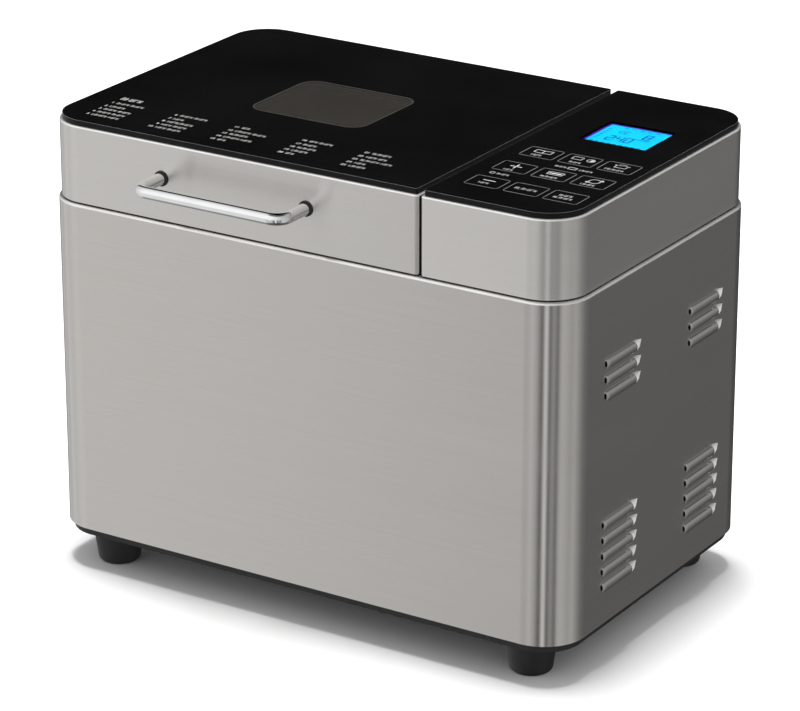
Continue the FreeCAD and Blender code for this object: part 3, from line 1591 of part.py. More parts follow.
def buildAll():
    makeBaseTray()
    makeFeet()
    makeFootScrews()
    makeHousingShell()
    makeRearPanel()
    makeRearScrews()
    makeCordGland()
    makeTopDeck()
    makeOvenChamber()
    makeStandoffs()
    makeHeatingElement()
    makeInsulators()
    makeThermalFuse()
    makeSensor()
    makeBreadPan()
    makePanBase()
    makePanBush()
    makePanHandle()
    makePanSeat()
    makePanClips()
    makeBearing()
    makeDriveBush()
    makeDriveShaft()
    makeDriveCoupling()
    makePanShaft()
    makePaddle()
    makeDrivePulley()
    makeMotorPulley()
    makeDriveBelt()
    makeMotorHousing()
    makeMotorShaft()
    makeArmature()
    makeMotorBracket()
    makeMotorScrews()
    makePowerBoard()
    makePowerComponents()
    makeSkirt("panel_shell", PANEL_LEFT, SKIRT_X, "right")
    makeGlass("panel_glass", PANEL_LEFT, SKIRT_X, "right")
    makePanelCarrier()
    makeDisplay()
    makeTouchBoard()
    makeControlBoard()
    makeLidShell()
    makeGlass("lid_glass", -SKIRT_X, LID_RIGHT, "left")
    makeLidLiner()
    makeWindowPane()
    makeGasket()
    makeLidHandle()
    makeHandleCollars()
    makeHandleScrews()
    makeHinges()


def checkAll():
    """Stops the build if a feature failed, a cut removed nothing or a shape is bad."""
    for item in doc.Objects:
        if "Invalid" in item.State or "Error" in item.State:
            raise RuntimeError(f"{item.Label} failed: {item.State}")
    for cut in cuts:
        if not cut.Shape.Volume < cut.BaseFeature.Shape.Volume - 1e-3:
            raise RuntimeError(f"{cut.Label} in {cut.getParentGeoFeatureGroup().Label} cuts nothing")
    for body in subparts:
        if body.Shape.isNull() or not body.Shape.isValid():
            raise RuntimeError(f"{body.Label} has no valid shape")


def exportAll():
    os.makedirs("parts", exist_ok=True)
    for body in subparts:
        body.Shape.exportStep(os.path.join("parts", f"{body.Label}.step"))
        print(f"{body.Label}: {len(body.Shape.Solids)} solid, {body.Shape.Volume / 1000:.1f} cm3")


buildAll()
doc.recompute()
checkAll()
exportAll()
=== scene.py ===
import json
import math

import bmesh
import bpy
from mathutils import Matrix, Vector


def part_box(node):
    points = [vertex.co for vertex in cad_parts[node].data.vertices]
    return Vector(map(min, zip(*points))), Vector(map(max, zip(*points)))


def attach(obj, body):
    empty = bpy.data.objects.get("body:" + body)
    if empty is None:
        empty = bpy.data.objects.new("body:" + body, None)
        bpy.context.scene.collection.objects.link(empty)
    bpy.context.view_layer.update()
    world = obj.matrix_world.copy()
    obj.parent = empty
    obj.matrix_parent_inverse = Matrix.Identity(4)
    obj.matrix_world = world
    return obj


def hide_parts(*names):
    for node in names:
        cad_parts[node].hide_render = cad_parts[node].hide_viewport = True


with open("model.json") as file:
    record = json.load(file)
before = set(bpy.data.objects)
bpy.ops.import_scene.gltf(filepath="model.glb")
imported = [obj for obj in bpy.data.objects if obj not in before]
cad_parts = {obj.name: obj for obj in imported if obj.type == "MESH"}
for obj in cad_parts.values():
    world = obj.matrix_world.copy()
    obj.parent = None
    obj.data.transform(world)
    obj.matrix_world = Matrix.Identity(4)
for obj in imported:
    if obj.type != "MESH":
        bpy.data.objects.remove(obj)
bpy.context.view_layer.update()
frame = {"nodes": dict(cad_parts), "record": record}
print("frame loaded:", len(frame["nodes"]), "nodes")

mm = 0.001


# small tools shared by the pieces

def nodeBox(name):
    # lowest and highest corner of an engineered piece, in millimetres
    low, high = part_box(name)
    return [round(c / mm, 4) for c in low], [round(c / mm, 4) for c in high]


def nodeMiddle(name):
    low, high = nodeBox(name)
    return [(a + b) / 2 for a, b in zip(low, high)]


def place(verts, bm, move=(0, 0, 0), size=(1, 1, 1), turn=None):
    if size != (1, 1, 1):
        bmesh.ops.scale(bm, verts=verts, vec=size)
    if turn:
        bmesh.ops.rotate(bm, verts=verts, cent=(0, 0, 0), matrix=turn)
    bmesh.ops.translate(bm, verts=verts, vec=move)


def newSince(sequence, before):
    return [item for item in sequence if item not in before]


def roundedFace(bm, left, right, front, back, z, radii, segments=12):
    # radii run front left, front right, back right, back left
    before = set(bm.faces)
    corners = bmesh.ops.create_grid(bm, x_segments=1, y_segments=1, size=0.5)["verts"]
    middle = ((left + right) / 2, (front + back) / 2, z)
    place(corners, bm, move=middle, size=(right - left, back - front, 1))
    spots = [(left, front), (right, front), (right, back), (left, back)]
    for (x, y), radius in zip(spots, radii):
        if radius:
            near = [v for v in bm.verts if (v.co - Vector((x, y, z))).length < 1e-4]
            bmesh.ops.bevel(bm, geom=near, offset=radius, offset_type="OFFSET",
                            segments=segments if radius > 5 else min(segments, 5),
                            profile=0.5, affect="VERTICES", material=-1, clamp_overlap=False)
    return newSince(bm.faces, before)[0]


def raiseFace(bm, face, height):
    # pulls a face up into a closed slab and returns its new top
    made = bmesh.ops.extrude_face_region(bm, geom=[face])["geom"]
    verts = [item for item in made if isinstance(item, bmesh.types.BMVert)]
    bmesh.ops.translate(bm, verts=verts, vec=(0, 0, height))
    return [item for item in made if isinstance(item, bmesh.types.BMFace)][0]


def slab(bm, left, right, front, back, low, high, radii, segments=12):
    before = set(bm.faces)
    raiseFace(bm, roundedFace(bm, left, right, front, back, low, radii, segments), high - low)
    made = newSince(bm.faces, before)
    bmesh.ops.recalc_face_normals(bm, faces=made)
    return made


def softenEdges(bm, edges, offset, segments=3):
    return bmesh.ops.bevel(bm, geom=edges, offset=offset, offset_type="OFFSET", segments=segments,
                           profile=0.5, affect="EDGES", material=-1, clamp_overlap=True)["faces"]


def bar(bm, start, end, width, z, depth=0.05, material=0):
    # a flat printed stroke between two points
    before = set(bm.faces)
    run = Vector((end[0] - start[0], end[1] - start[1], 0))
    verts = bmesh.ops.create_cube(bm, size=1)["verts"]
    turn = Matrix.Rotation(math.atan2(run.y, run.x), 3, "Z")
    place(verts, bm, size=(run.length + width * 0.5, width, depth), turn=turn)
    middle = ((start[0] + end[0]) / 2, (start[1] + end[1]) / 2, z - depth / 2)
    bmesh.ops.translate(bm, verts=verts, vec=middle)
    for face in newSince(bm.faces, before):
        face.material_index = material


printLevel = 286.985


def strokes(bm, x, y, points, width, material=1, closed=False):
    spots = [(x + px, y + py) for px, py in points]
    if closed:
        spots.append(spots[0])
    for start, end in zip(spots, spots[1:]):
        bar(bm, start, end, width, printLevel, material=material)


def arcPoints(radius, first, last, steps, squash=1.0):
    turn = (last - first) / steps
    angles = [math.radians(first + turn * i) for i in range(steps + 1)]
    return [(radius * math.cos(angle), radius * squash * math.sin(angle)) for angle in angles]


def roundedPoints(halfWide, halfDeep, corner, steps):
    points = []
    for quarter, (cornerX, cornerY) in enumerate(((1, 1), (-1, 1), (-1, -1), (1, -1))):
        for px, py in arcPoints(corner, quarter * 90, quarter * 90 + 90, steps):
            points.append((cornerX * (halfWide - corner) + px, cornerY * (halfDeep - corner) + py))
    return points


def addMesh(bm, mesh, matrix, material=0):
    before = set(bm.faces)
    oldVerts = set(bm.verts)
    bm.from_mesh(mesh)
    bmesh.ops.transform(bm, verts=newSince(bm.verts, oldVerts), matrix=matrix)
    bmesh.ops.remove_doubles(bm, verts=newSince(bm.verts, oldVerts), dist=1e-3)
    for face in newSince(bm.faces, before):
        face.material_index = material


def writeNumber(bm, number, x, y, z, height, depth=0.05, material=0):
    curve = bpy.data.curves.new("number", "FONT")
    curve.body = str(number)
    curve.size = height * 1.4
    curve.extrude = depth / 2
    curve.align_x = "RIGHT"
    holder = bpy.data.objects.new("number", curve)
    bpy.context.scene.collection.objects.link(holder)
    mesh = bpy.data.meshes.new_from_object(holder.evaluated_get(bpy.context.evaluated_depsgraph_get()))
    addMesh(bm, mesh, Matrix.Translation((x, y, z - depth / 2)), material)
    bpy.data.objects.remove(holder)
    bpy.data.curves.remove(curve)
    bpy.data.meshes.remove(mesh)


def finishPiece(name, bm, materials, body, replaced=(), bevel=0, smoothAngle=35, tidy=True):
    if tidy:
        bmesh.ops.remove_doubles(bm, verts=bm.verts, dist=1e-4)
    bmesh.ops.scale(bm, verts=bm.verts, vec=(mm, mm, mm))
    mesh = bpy.data.meshes.new(name)
    bm.to_mesh(mesh)
    bm.free()
    for material in materials:
        mesh.materials.append(material)
    piece = bpy.data.objects.new(name, mesh)
    bpy.context.scene.collection.objects.link(piece)
    if bevel:
        edgeBevel = piece.modifiers.new("soft edges", "BEVEL")
        edgeBevel.width = bevel * mm
        edgeBevel.segments = 2
        edgeBevel.limit_method = "ANGLE"
        edgeBevel.angle_limit = math.radians(40)
        edgeBevel.harden_normals = False
    mesh.set_sharp_from_angle(angle=math.radians(smoothAngle))
    mesh.polygons.foreach_set("use_smooth", [True] * len(mesh.polygons))
    weighted = piece.modifiers.new("flat faces stay flat", "WEIGHTED_NORMAL")
    weighted.keep_sharp = True
    weighted.weight = 80
    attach(piece, body)
    if replaced:
        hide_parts(*replaced)
    return piece


# finishes

def newMaterial(name):
    material = bpy.data.materials.new(name)
    material.use_nodes = True
    tree = material.node_tree
    tree.nodes.clear()
    output = tree.nodes.new("ShaderNodeOutputMaterial")
    shader = tree.nodes.new("ShaderNodeBsdfPrincipled")
    tree.links.new(shader.outputs["BSDF"], output.inputs["Surface"])
    return material, tree, shader


def pattern(tree, stretch, detail=3, roughness=0.5):
    where = tree.nodes.new("ShaderNodeTexCoord")
    mapping = tree.nodes.new("ShaderNodeMapping")
    mapping.inputs["Scale"].default_value = stretch
    noise = tree.nodes.new("ShaderNodeTexNoise")
    noise.inputs["Scale"].default_value = 1
    noise.inputs["Detail"].default_value = detail
    noise.inputs["Roughness"].default_value = roughness
    tree.links.new(where.outputs["Object"], mapping.inputs["Vector"])
    tree.links.new(mapping.outputs["Vector"], noise.inputs["Vector"])
    return noise.outputs["Fac"]


def spread(tree, source, low, high, fromLow=0.3, fromHigh=0.7):
    span = tree.nodes.new("ShaderNodeMapRange")
    span.inputs["From Min"].default_value = fromLow
    span.inputs["From Max"].default_value = fromHigh
    span.inputs["To Min"].default_value = low
    span.inputs["To Max"].default_value = high
    tree.links.new(source, span.inputs["Value"])
    return span.outputs["Result"]


def tint(tree, source, dark, light, fromLow=0.3, fromHigh=0.7):
    ramp = tree.nodes.new("ShaderNodeValToRGB")
    ramp.color_ramp.elements[0].position = fromLow
    ramp.color_ramp.elements[1].position = fromHigh
    ramp.color_ramp.elements[0].color = (*dark, 1)
    ramp.color_ramp.elements[1].color = (*light, 1)
    tree.links.new(source, ramp.inputs["Fac"])
    return ramp.outputs["Color"]


def relief(tree, shader, source, strength, depth):
    bump = tree.nodes.new("ShaderNodeBump")
    bump.inputs["Strength"].default_value = strength
    bump.inputs["Distance"].default_value = depth
    tree.links.new(source, bump.inputs["Height"])
    tree.links.new(bump.outputs["Normal"], shader.inputs["Normal"])


def madeFinish(name, dark, light, rough, metallic=0.0, blotch=(60, 60, 60), grain=(900, 900, 900),
               bump=0.15, depth=0.00012, specular=0.5):
    # a moulded, cast or plated finish: slow blotches in colour and gloss over a fine grain
    material, tree, shader = newMaterial(name)
    slow = pattern(tree, blotch)
    fine = pattern(tree, grain, detail=2)
    tree.links.new(tint(tree, slow, dark, light), shader.inputs["Base Color"])
    tree.links.new(spread(tree, slow, rough[0], rough[1]), shader.inputs["Roughness"])
    shader.inputs["Metallic"].default_value = metallic
    shader.inputs["Specular IOR Level"].default_value = specular
    relief(tree, shader, fine, bump, depth)
    return material


brush = {"along": (13, 13, 2300), "veil": (6, 6, 40), "stretch": 0.94, "turn": 0.25, "bump": 0.015,
         "depth": 0.0001}


def brushedFinish(name, dark, light, rough):
    # fine level brush lines: reflections spread up and down, and stay crisp round a corner
    material, tree, shader = newMaterial(name)
    lines = pattern(tree, brush["along"], detail=4, roughness=0.65)
    slow = pattern(tree, brush["veil"], detail=2)
    tree.links.new(tint(tree, lines, dark, light, 0.25, 0.75), shader.inputs["Base Color"])
    both = tree.nodes.new("ShaderNodeMath")
    both.operation = "ADD"
    tree.links.new(spread(tree, lines, 0, rough[1] - rough[0]), both.inputs[0])
    tree.links.new(spread(tree, slow, rough[0] - 0.02, rough[0] + 0.03), both.inputs[1])
    tree.links.new(both.outputs["Value"], shader.inputs["Roughness"])
    tangent = tree.nodes.new("ShaderNodeTangent")
    tangent.direction_type = "RADIAL"
    tangent.axis = "Z"
    tree.links.new(tangent.outputs["Tangent"], shader.inputs["Tangent"])
    shader.inputs["Anisotropic"].default_value = brush["stretch"]
    shader.inputs["Anisotropic Rotation"].default_value = brush["turn"]
    shader.inputs["Metallic"].default_value = 1
    relief(tree, shader, lines, brush["bump"], brush["depth"])
    return material


def glassFinish(name, dark, light, rough, transmission=0.0):
    material, tree, shader = newMaterial(name)
    slow = pattern(tree, (14, 14, 14), detail=3)
    tree.links.new(tint(tree, slow, dark, light), shader.inputs["Base Color"])
    tree.links.new(spread(tree, slow, rough[0], rough[1]), shader.inputs["Roughness"])
    shader.inputs["Transmission Weight"].default_value = transmission
    shader.inputs["IOR"].default_value = 1.5
    return material


def glowFinish(name, dark, light, strength):
    material, tree, shader = newMaterial(name)
    slow = pattern(tree, (40, 40, 40), detail=2)
    colour = tint(tree, slow, dark, light)
    tree.links.new(colour, shader.inputs["Base Color"])
    tree.links.new(colour, shader.inputs["Emission Color"])
    shader.inputs["Emission Strength"].default_value = strength
    shader.inputs["Roughness"].default_value = 0.4
    return material


finish = {
    "brushed_steel": brushedFinish("brushed steel", (0.573, 0.555, 0.528), (0.602, 0.583, 0.556),
                                   (0.20, 0.22)),
    "lid_steel": brushedFinish("brushed lid steel", (0.610, 0.593, 0.568), (0.640, 0.622, 0.596),
                               (0.22, 0.24)),
    # panel skirt: the same brushed steel painted lighter, painted light that brightens its side
    "panel_steel": brushedFinish("brushed panel steel painted lighter", (0.665, 0.647, 0.620), (0.698, 0.678, 0.650),
                                 (0.36, 0.38)),
    # louvre leaves: a lighter, half-metallic copy of the housing steel, a painted highlight on the leaf shaped
    # facets
    "pressed_leaf": madeFinish("louvre leaf painted highlight", (0.74, 0.72, 0.69), (0.84, 0.82, 0.79),
                               (0.45, 0.55), 0.35,
                               bump=0.05),
    "black_glass": glassFinish("black printed glass", (0.0025, 0.0025, 0.0025), (0.004, 0.004, 0.004),
                               (0.03, 0.06)),
    # glass bevel: grey and half metallic, a painted highlight along the top edge of each glass
    "glass_bevel": madeFinish("glass bevel painted highlight", (0.40, 0.40, 0.40), (0.48, 0.48, 0.48), (0.2, 0.3), 0.6,
                              bump=0.02),
    "glass_side": madeFinish("cut glass side", (0.003, 0.003, 0.003), (0.006, 0.006, 0.006), (0.3, 0.4),
                             bump=0.02,
                             specular=0.15),
    # folded edges: a lighter, partly diffuse copy of the steel, a painted highlight along each fold and lip
    "polished_fold": madeFinish("steel fold painted highlight", (0.72, 0.71, 0.69), (0.84, 0.83, 0.81), (0.16, 0.22),
                                0.75,
                                bump=0.02),
    "smoked_glass": glassFinish("smoked window glass", (0.30, 0.28, 0.25), (0.36, 0.335, 0.305), (0.0, 0.02),
                                0.94),
    "screen_glass": glassFinish("clear screen glass", (0.93, 0.95, 0.97), (0.96, 0.97, 0.98), (0.0, 0.015),
                                1.0),
    "clear_glass": glassFinish("clear inner pane", (0.86, 0.9, 0.88), (0.9, 0.93, 0.91), (0.0, 0.03), 1.0),
    "chrome": madeFinish("polished chrome", (0.80, 0.80, 0.81), (0.88, 0.88, 0.88), (0.06, 0.11), 1.0,
                         grain=(500, 500, 500), bump=0.03),
    "black_plastic": madeFinish("black moulded plastic", (0.010, 0.010, 0.010), (0.015, 0.015, 0.015),
                                (0.42, 0.55),
                                specular=0.3),
    "foot_plastic": madeFinish("matt foot plastic", (0.010, 0.010, 0.010), (0.015, 0.015, 0.015), (0.5, 0.66),
                               grain=(1400, 1400, 1400), bump=0.3, specular=0.3),
    # near-black painted shade: the louvre front ends, where slots would stand dark, and the gap between lid
    # and panel
    "vent_dark": madeFinish("vent shadow", (0.004, 0.004, 0.004), (0.008, 0.008, 0.008), (0.6, 0.8)),
    "grey_plastic": madeFinish("grey moulded plastic", (0.035, 0.035, 0.037), (0.05, 0.05, 0.052),
                               (0.45, 0.6)),
    "zinc_steel": madeFinish("zinc plated steel", (0.5, 0.5, 0.52), (0.62, 0.61, 0.58), (0.28, 0.42), 1.0,
                             blotch=(220, 220, 220), bump=0.1),
    "oven_steel": madeFinish("oven sheet steel", (0.42, 0.41, 0.40), (0.55, 0.54, 0.52), (0.3, 0.45), 1.0,
                             blotch=(25, 25, 90), bump=0.08),
    "pan_coating": madeFinish("non stick coating", (0.035, 0.033, 0.032), (0.06, 0.057, 0.055), (0.34, 0.46),
                              0.3,
                              blotch=(45, 45, 45), grain=(1300, 1300, 1300), bump=0.25),
    "cast_aluminium": madeFinish("die cast aluminium", (0.5, 0.5, 0.5), (0.66, 0.66, 0.65), (0.4, 0.55), 1.0,
                                 grain=(700, 700, 700), bump=0.35),
    "brass": madeFinish("turned brass", (0.62, 0.46, 0.2), (0.74, 0.57, 0.27), (0.22, 0.34), 1.0),
    "ceramic": madeFinish("white ceramic", (0.66, 0.64, 0.58), (0.78, 0.76, 0.7), (0.35, 0.5)),
    "silicone": madeFinish("seal silicone", (0.30, 0.29, 0.28), (0.38, 0.37, 0.35), (0.5, 0.62)),
    "belt_rubber": madeFinish("belt rubber", (0.015, 0.015, 0.015), (0.028, 0.027, 0.026), (0.6, 0.75),
                              bump=0.3),
    "element_steel": madeFinish("heater sheath", (0.12, 0.11, 0.10), (0.23, 0.21, 0.19), (0.4, 0.55), 1.0),
    "circuit_board": madeFinish("circuit board", (0.012, 0.09, 0.03), (0.02, 0.15, 0.05), (0.3, 0.42)),
    "board_parts": madeFinish("board parts", (0.03, 0.035, 0.06), (0.08, 0.085, 0.11), (0.3, 0.5)),
    "display": madeFinish("display frame", (0.010, 0.010, 0.012), (0.016, 0.016, 0.02), (0.35, 0.5)),
    "motor_paint": madeFinish("motor shell paint", (0.16, 0.165, 0.17), (0.21, 0.215, 0.22), (0.35, 0.5), 0.6),
    "print_white": madeFinish("printed legend", (0.42, 0.42, 0.41), (0.50, 0.50, 0.49), (0.4, 0.55),
                              bump=0.05),
    "print_grey": madeFinish("printed outline", (0.15, 0.15, 0.15), (0.19, 0.19, 0.19), (0.4, 0.55),
                             bump=0.05),
    "window_line": madeFinish("window edge line", (0.035, 0.032, 0.028), (0.05, 0.046, 0.04), (0.35, 0.5),
                              bump=0.05),
    "screen_glow": glowFinish("screen backlight", (0.0, 0.47, 1.0), (0.0, 0.56, 1.0), 1.0),
    "screen_edge": glowFinish("screen violet edge", (0.05, 0.0, 0.34), (0.08, 0.0, 0.42), 0.8),
    "screen_mark": glowFinish("screen segment", (0.0, 0.004, 0.05), (0.0, 0.008, 0.07), 0.2),
}
print("finishes made:", len(finish))


# housing shell: one bent steel sheet, folded over at the top, open at the foot and at the back

housingLow, housingHigh = nodeBox("housing_shell")
housing = {"left": housingLow[0], "right": -housingLow[0], "front": housingLow[1], "back": housingHigh[1],
           "low": housingLow[2], "high": housingHigh[2], "corner": 27, "fold": 1.5, "lip": 6, "sheet": 0.8,
           "openHalf": 148, "openLow": 45, "openHigh": 191.5}
louvre = {"rise": 2.55, "height": 6.6, "straight": 29.5, "nose": 8.6, "lead": 2.4,
          "columns": (-36.225, 63.275),
          "pitch": 9.8, "groups": ((191.5, 3), (92.5, 5)),
          # the steps of each end: shrink across and upwards, share of the end's length, lift
          "noseSteps": ((0.82, 0.8, 0.42, 0.22), (0.05, 0.08, 0.58, 0.62)),
          "leadSteps": ((0.72, 0.8, -1), (0.45, 0.72, -1 / 12), (1, 1, 2 / 3))}



def foldedSkirt(bm, size, radii, foldHighlightSlot):
    before = set(bm.faces)
    slab(bm, size["left"], size["right"], size["front"], size["back"], size["low"], size["high"], radii, 16)
    made = newSince(bm.faces, before)
    top = [f for f in made if f.normal.z > 0.9][0]
    bottom = [f for f in made if f.normal.z < -0.9][0]
    bmesh.ops.delete(bm, geom=[bottom], context="FACES_ONLY")
    # the rounded fold and the lip get the painted highlight finish
    for face in softenEdges(bm, list(top.edges), size["fold"], 5):
        face.material_index = foldHighlightSlot
    top = max(newSince(bm.faces, before), key=lambda f: f.normal.z * f.calc_area())
    for face in bmesh.ops.inset_region(bm, faces=[top], thickness=size["lip"], use_even_offset=True)["faces"]:
        face.material_index = foldHighlightSlot
    bmesh.ops.delete(bm, geom=[top], context="FACES_ONLY")


def cutOpening(bm, size):
    cuts = [((size["openHalf"], 0, 0), (1, 0, 0)), ((-size["openHalf"], 0, 0), (1, 0, 0)),
            ((0, 0, size["openLow"]), (0, 0, 1)), ((0, 0, size["openHigh"]), (0, 0, 1))]
    for spot, normal in cuts:
        pool = [f for f in bm.faces if f.normal.y > 0.99]
        geom = pool + list({e for f in pool for e in f.edges}) + list({v for f in pool for v in f.verts})
        bmesh.ops.bisect_plane(bm, geom=geom, plane_co=spot, plane_no=normal)
    hole = [f for f in bm.faces if f.normal.y > 0.99 and abs(f.calc_center_median().x) < size["openHalf"]
            and size["openLow"] < f.calc_center_median().z < size["openHigh"]]
    bmesh.ops.delete(bm, geom=hole, context="FACES")


def thicken(bm, sheet):
    bmesh.ops.recalc_face_normals(bm, faces=bm.faces)
    bmesh.ops.solidify(bm, geom=bm.faces[:], thickness=sheet)


def pressLouvre(bm, size, y, z):
    # half a round bar, with painted shade on its front end where a small slot would stand dark, and a painted
    # highlight on the leaf shaped facet behind
    before = set(bm.verts)
    radius = size["height"] / 2

    def own():
        verts = [v for v in bm.verts if v not in before]
        return verts, list({f for v in verts for f in v.link_faces})

    def pull(faces, shrink, move):
        geom = bmesh.ops.extrude_face_region(bm, geom=faces)["geom"]
        tip = [g for g in geom if isinstance(g, bmesh.types.BMVert)]
        bmesh.ops.delete(bm, geom=[f for f in faces if f.is_valid], context="FACES_ONLY")
        bmesh.ops.scale(bm, verts=tip, vec=shrink)
        bmesh.ops.translate(bm, verts=tip, vec=move)
        return [g for g in geom if isinstance(g, bmesh.types.BMFace)]

    made = bmesh.ops.create_cone(bm, cap_ends=True, cap_tris=False, segments=32, radius1=radius,
                                 radius2=radius, depth=size["straight"])["verts"]
    place(made, bm, turn=Matrix.Rotation(-math.pi / 2, 3, "X"))
    rear = [f for f in own()[1] if f.normal.y > 0.9]
    for across, upward, reach, lift in size["noseSteps"]:
        rear = pull(rear, (across, 1, upward), (0, size["nose"] * reach, radius * lift))
    # the leaf shaped end gets the lighter finish: a painted highlight
    for face in own()[1]:
        if face.calc_center_median().y > size["straight"] / 2 + 0.5:
            face.material_index = 2
    cap = [f for f in own()[1] if f.normal.y < -0.9]
    for across, upward, reach in size["leadSteps"]:
        cap = pull(cap, (across, 1, upward), (0, size["lead"] * reach, 0))
    # the front end faces get the near-black finish: painted shade where the slot would be
    for face in own()[1]:
        if face.normal.y < -0.9 and face.calc_center_median().y > -size["straight"] / 2 - size["lead"]:
            face.material_index = 1
    for face in cap:
        face.material_index = 1
    verts, faces = own()
    geom = verts + faces + list({e for f in faces for e in f.edges})
    cut = bmesh.ops.bisect_plane(bm, geom=geom, plane_co=(-0.3, 0, 0), plane_no=(1, 0, 0), clear_inner=True)
    rim = [g for g in cut["geom_cut"] if isinstance(g, bmesh.types.BMEdge)]
    bmesh.ops.holes_fill(bm, edges=rim, sides=0)
    place(own()[0], bm, size=(size["rise"] / radius, 1, 1),
          move=(housing["right"], y + (size["lead"] - size["nose"]) / 2, z))


bm = bmesh.new()
foldedSkirt(bm, housing, [housing["corner"]] * 4, 3)
cutOpening(bm, housing)
thicken(bm, housing["sheet"])
for columnY in louvre["columns"]:
    for top, count in louvre["groups"]:
        for step in range(count):
            pressLouvre(bm, louvre, columnY, top - step * louvre["pitch"] - louvre["height"] / 2)
# brushed steel, painted shade on the louvre ends, a painted highlight on the louvre leaves and along the top
# fold
housingLooks = [finish["brushed_steel"], finish["vent_dark"], finish["pressed_leaf"], finish["polished_fold"]]
finishPiece("housing_skin", bm, housingLooks, "base", ["housing_shell"], smoothAngle=30)
print("housing done")


# lid and panel skirts, with the folded edge that carries each glass

lidLow, lidHigh = nodeBox("lid_shell")
panelLow, panelHigh = nodeBox("panel_shell")
lidSkirt = {"left": lidLow[0], "right": lidHigh[0], "front": lidLow[1], "back": lidHigh[1], "low": lidLow[2],
            "high": lidHigh[2], "fold": 0.9, "lip": 1.4, "sheet": 0.8, "outerCorner": 25.3, "innerCorner": 2.5}
panelSkirt = dict(lidSkirt, left=panelLow[0], right=panelHigh[0])


def sideCorners(size, outerSide):
    # wide corners on the outer side only, in the order that roundedFace takes
    wide, narrow = size["outerCorner"], size["innerCorner"]
    return [wide, narrow, narrow, wide] if outerSide == "left" else [narrow, wide, wide, narrow]


bm = bmesh.new()
foldedSkirt(bm, lidSkirt, sideCorners(lidSkirt, "left"), 1)
thicken(bm, lidSkirt["sheet"])
finishPiece("lid_skin", bm, [finish["lid_steel"], finish["polished_fold"]], "lid",
            ["lid_shell"], smoothAngle=30)

bm = bmesh.new()
foldedSkirt(bm, panelSkirt, sideCorners(panelSkirt, "right"), 1)
thicken(bm, panelSkirt["sheet"])
finishPiece("panel_skin", bm, [finish["panel_steel"], finish["polished_fold"]], "base",
            ["panel_shell"], smoothAngle=30)

# a near-black strip of painted shade that fills the gap between lid and panel
gapShadeStrip = {"left": 83.55, "right": 84.05, "front": -99, "back": 122.6, "low": 236.5, "high": 281.5}
bm = bmesh.new()
slab(bm, gapShadeStrip["left"], gapShadeStrip["right"], gapShadeStrip["front"], gapShadeStrip["back"], gapShadeStrip["low"], gapShadeStrip["high"],
     [0] * 4)
finishPiece("lid_gap_shade_strip", bm, [finish["vent_dark"]], "base")
print("skirts done")


# glass tops: black print all over, but for the window and the screen

lidGlassLow, lidGlassHigh = nodeBox("lid_glass")
panelGlassLow, panelGlassHigh = nodeBox("panel_glass")
glass = {"low": lidGlassLow[2], "high": lidGlassHigh[2] - 0.08, "front": lidGlassLow[1],
         "back": lidGlassHigh[1],
         "edge": 0.9, "outerCorner": 23.6, "innerCorner": 1.2}
windowPane = {"x": -43.65, "y": 6.875, "wide": 78, "deep": 67, "corner": 10}
screenMiddle = nodeMiddle("lcd_display")
screen = {"x": screenMiddle[0], "y": screenMiddle[1], "wide": 43.3, "deep": 38, "corner": 0.8}


def glassTop(bm, size, left, right, radii, hole):
    # an outer and an inner outline joined at the top and at the bottom, so the opening has faces of its own
    levels = []
    for z in (size["low"], size["high"]):
        outer = roundedFace(bm, left, right, size["front"], size["back"], z, radii, 14)
        inner = roundedFace(bm, hole["x"] - hole["wide"] / 2, hole["x"] + hole["wide"] / 2,
                            hole["y"] - hole["deep"] / 2, hole["y"] + hole["deep"] / 2, z,
                            [hole["corner"]] * 4, 10)
        inner.material_index = 1
        levels.append((list(outer.edges), list(inner.edges)))
        outerEdges = list(outer.edges)
        bmesh.ops.delete(bm, geom=[outer], context="FACES_ONLY")
        bmesh.ops.triangle_fill(bm, edges=outerEdges + list(inner.edges), use_beauty=True)
    bmesh.ops.bridge_loops(bm, edges=levels[0][0] + levels[1][0])
    bmesh.ops.recalc_face_normals(bm, faces=bm.faces)
    rim = [e for e in levels[1][0] if e.is_valid]
    # the top rim bevel gets the painted highlight finish
    for face in softenEdges(bm, rim, size["edge"], 3):
        face.material_index = 2
    for face in bm.faces:
        if abs(face.normal.z) < 0.1 and face.material_index == 0:
            face.material_index = 3


bm = bmesh.new()
glassTop(bm, glass, lidGlassLow[0], lidGlassHigh[0], sideCorners(glass, "left"), windowPane)
finishPiece("lid_glass_top", bm, [finish["black_glass"], finish["smoked_glass"], finish["glass_bevel"],
                                  finish["glass_side"]], "lid",
            ["lid_glass"], smoothAngle=25)

bm = bmesh.new()
glassTop(bm, glass, panelGlassLow[0], panelGlassHigh[0], sideCorners(glass, "right"), screen)
finishPiece("panel_glass_top", bm, [finish["black_glass"], finish["screen_glass"], finish["glass_bevel"],
                                    finish["glass_side"]], "base",
            ["panel_glass"], smoothAngle=25)
print("glass done")


# lid handle: a bent round bar between two collars

collarLow, collarHigh = nodeBox("handle_collars")
collarHalf = (collarHigh[2] - collarLow[2]) / 2
handle = {"left": round(collarLow[0] + collarHalf, 4), "right": round(collarHigh[0] - collarHalf, 4),
          "face": -101.9, "reach": -127.025, "z": nodeMiddle("handle_collars")[2], "radius": 3.72, "bend": 8}


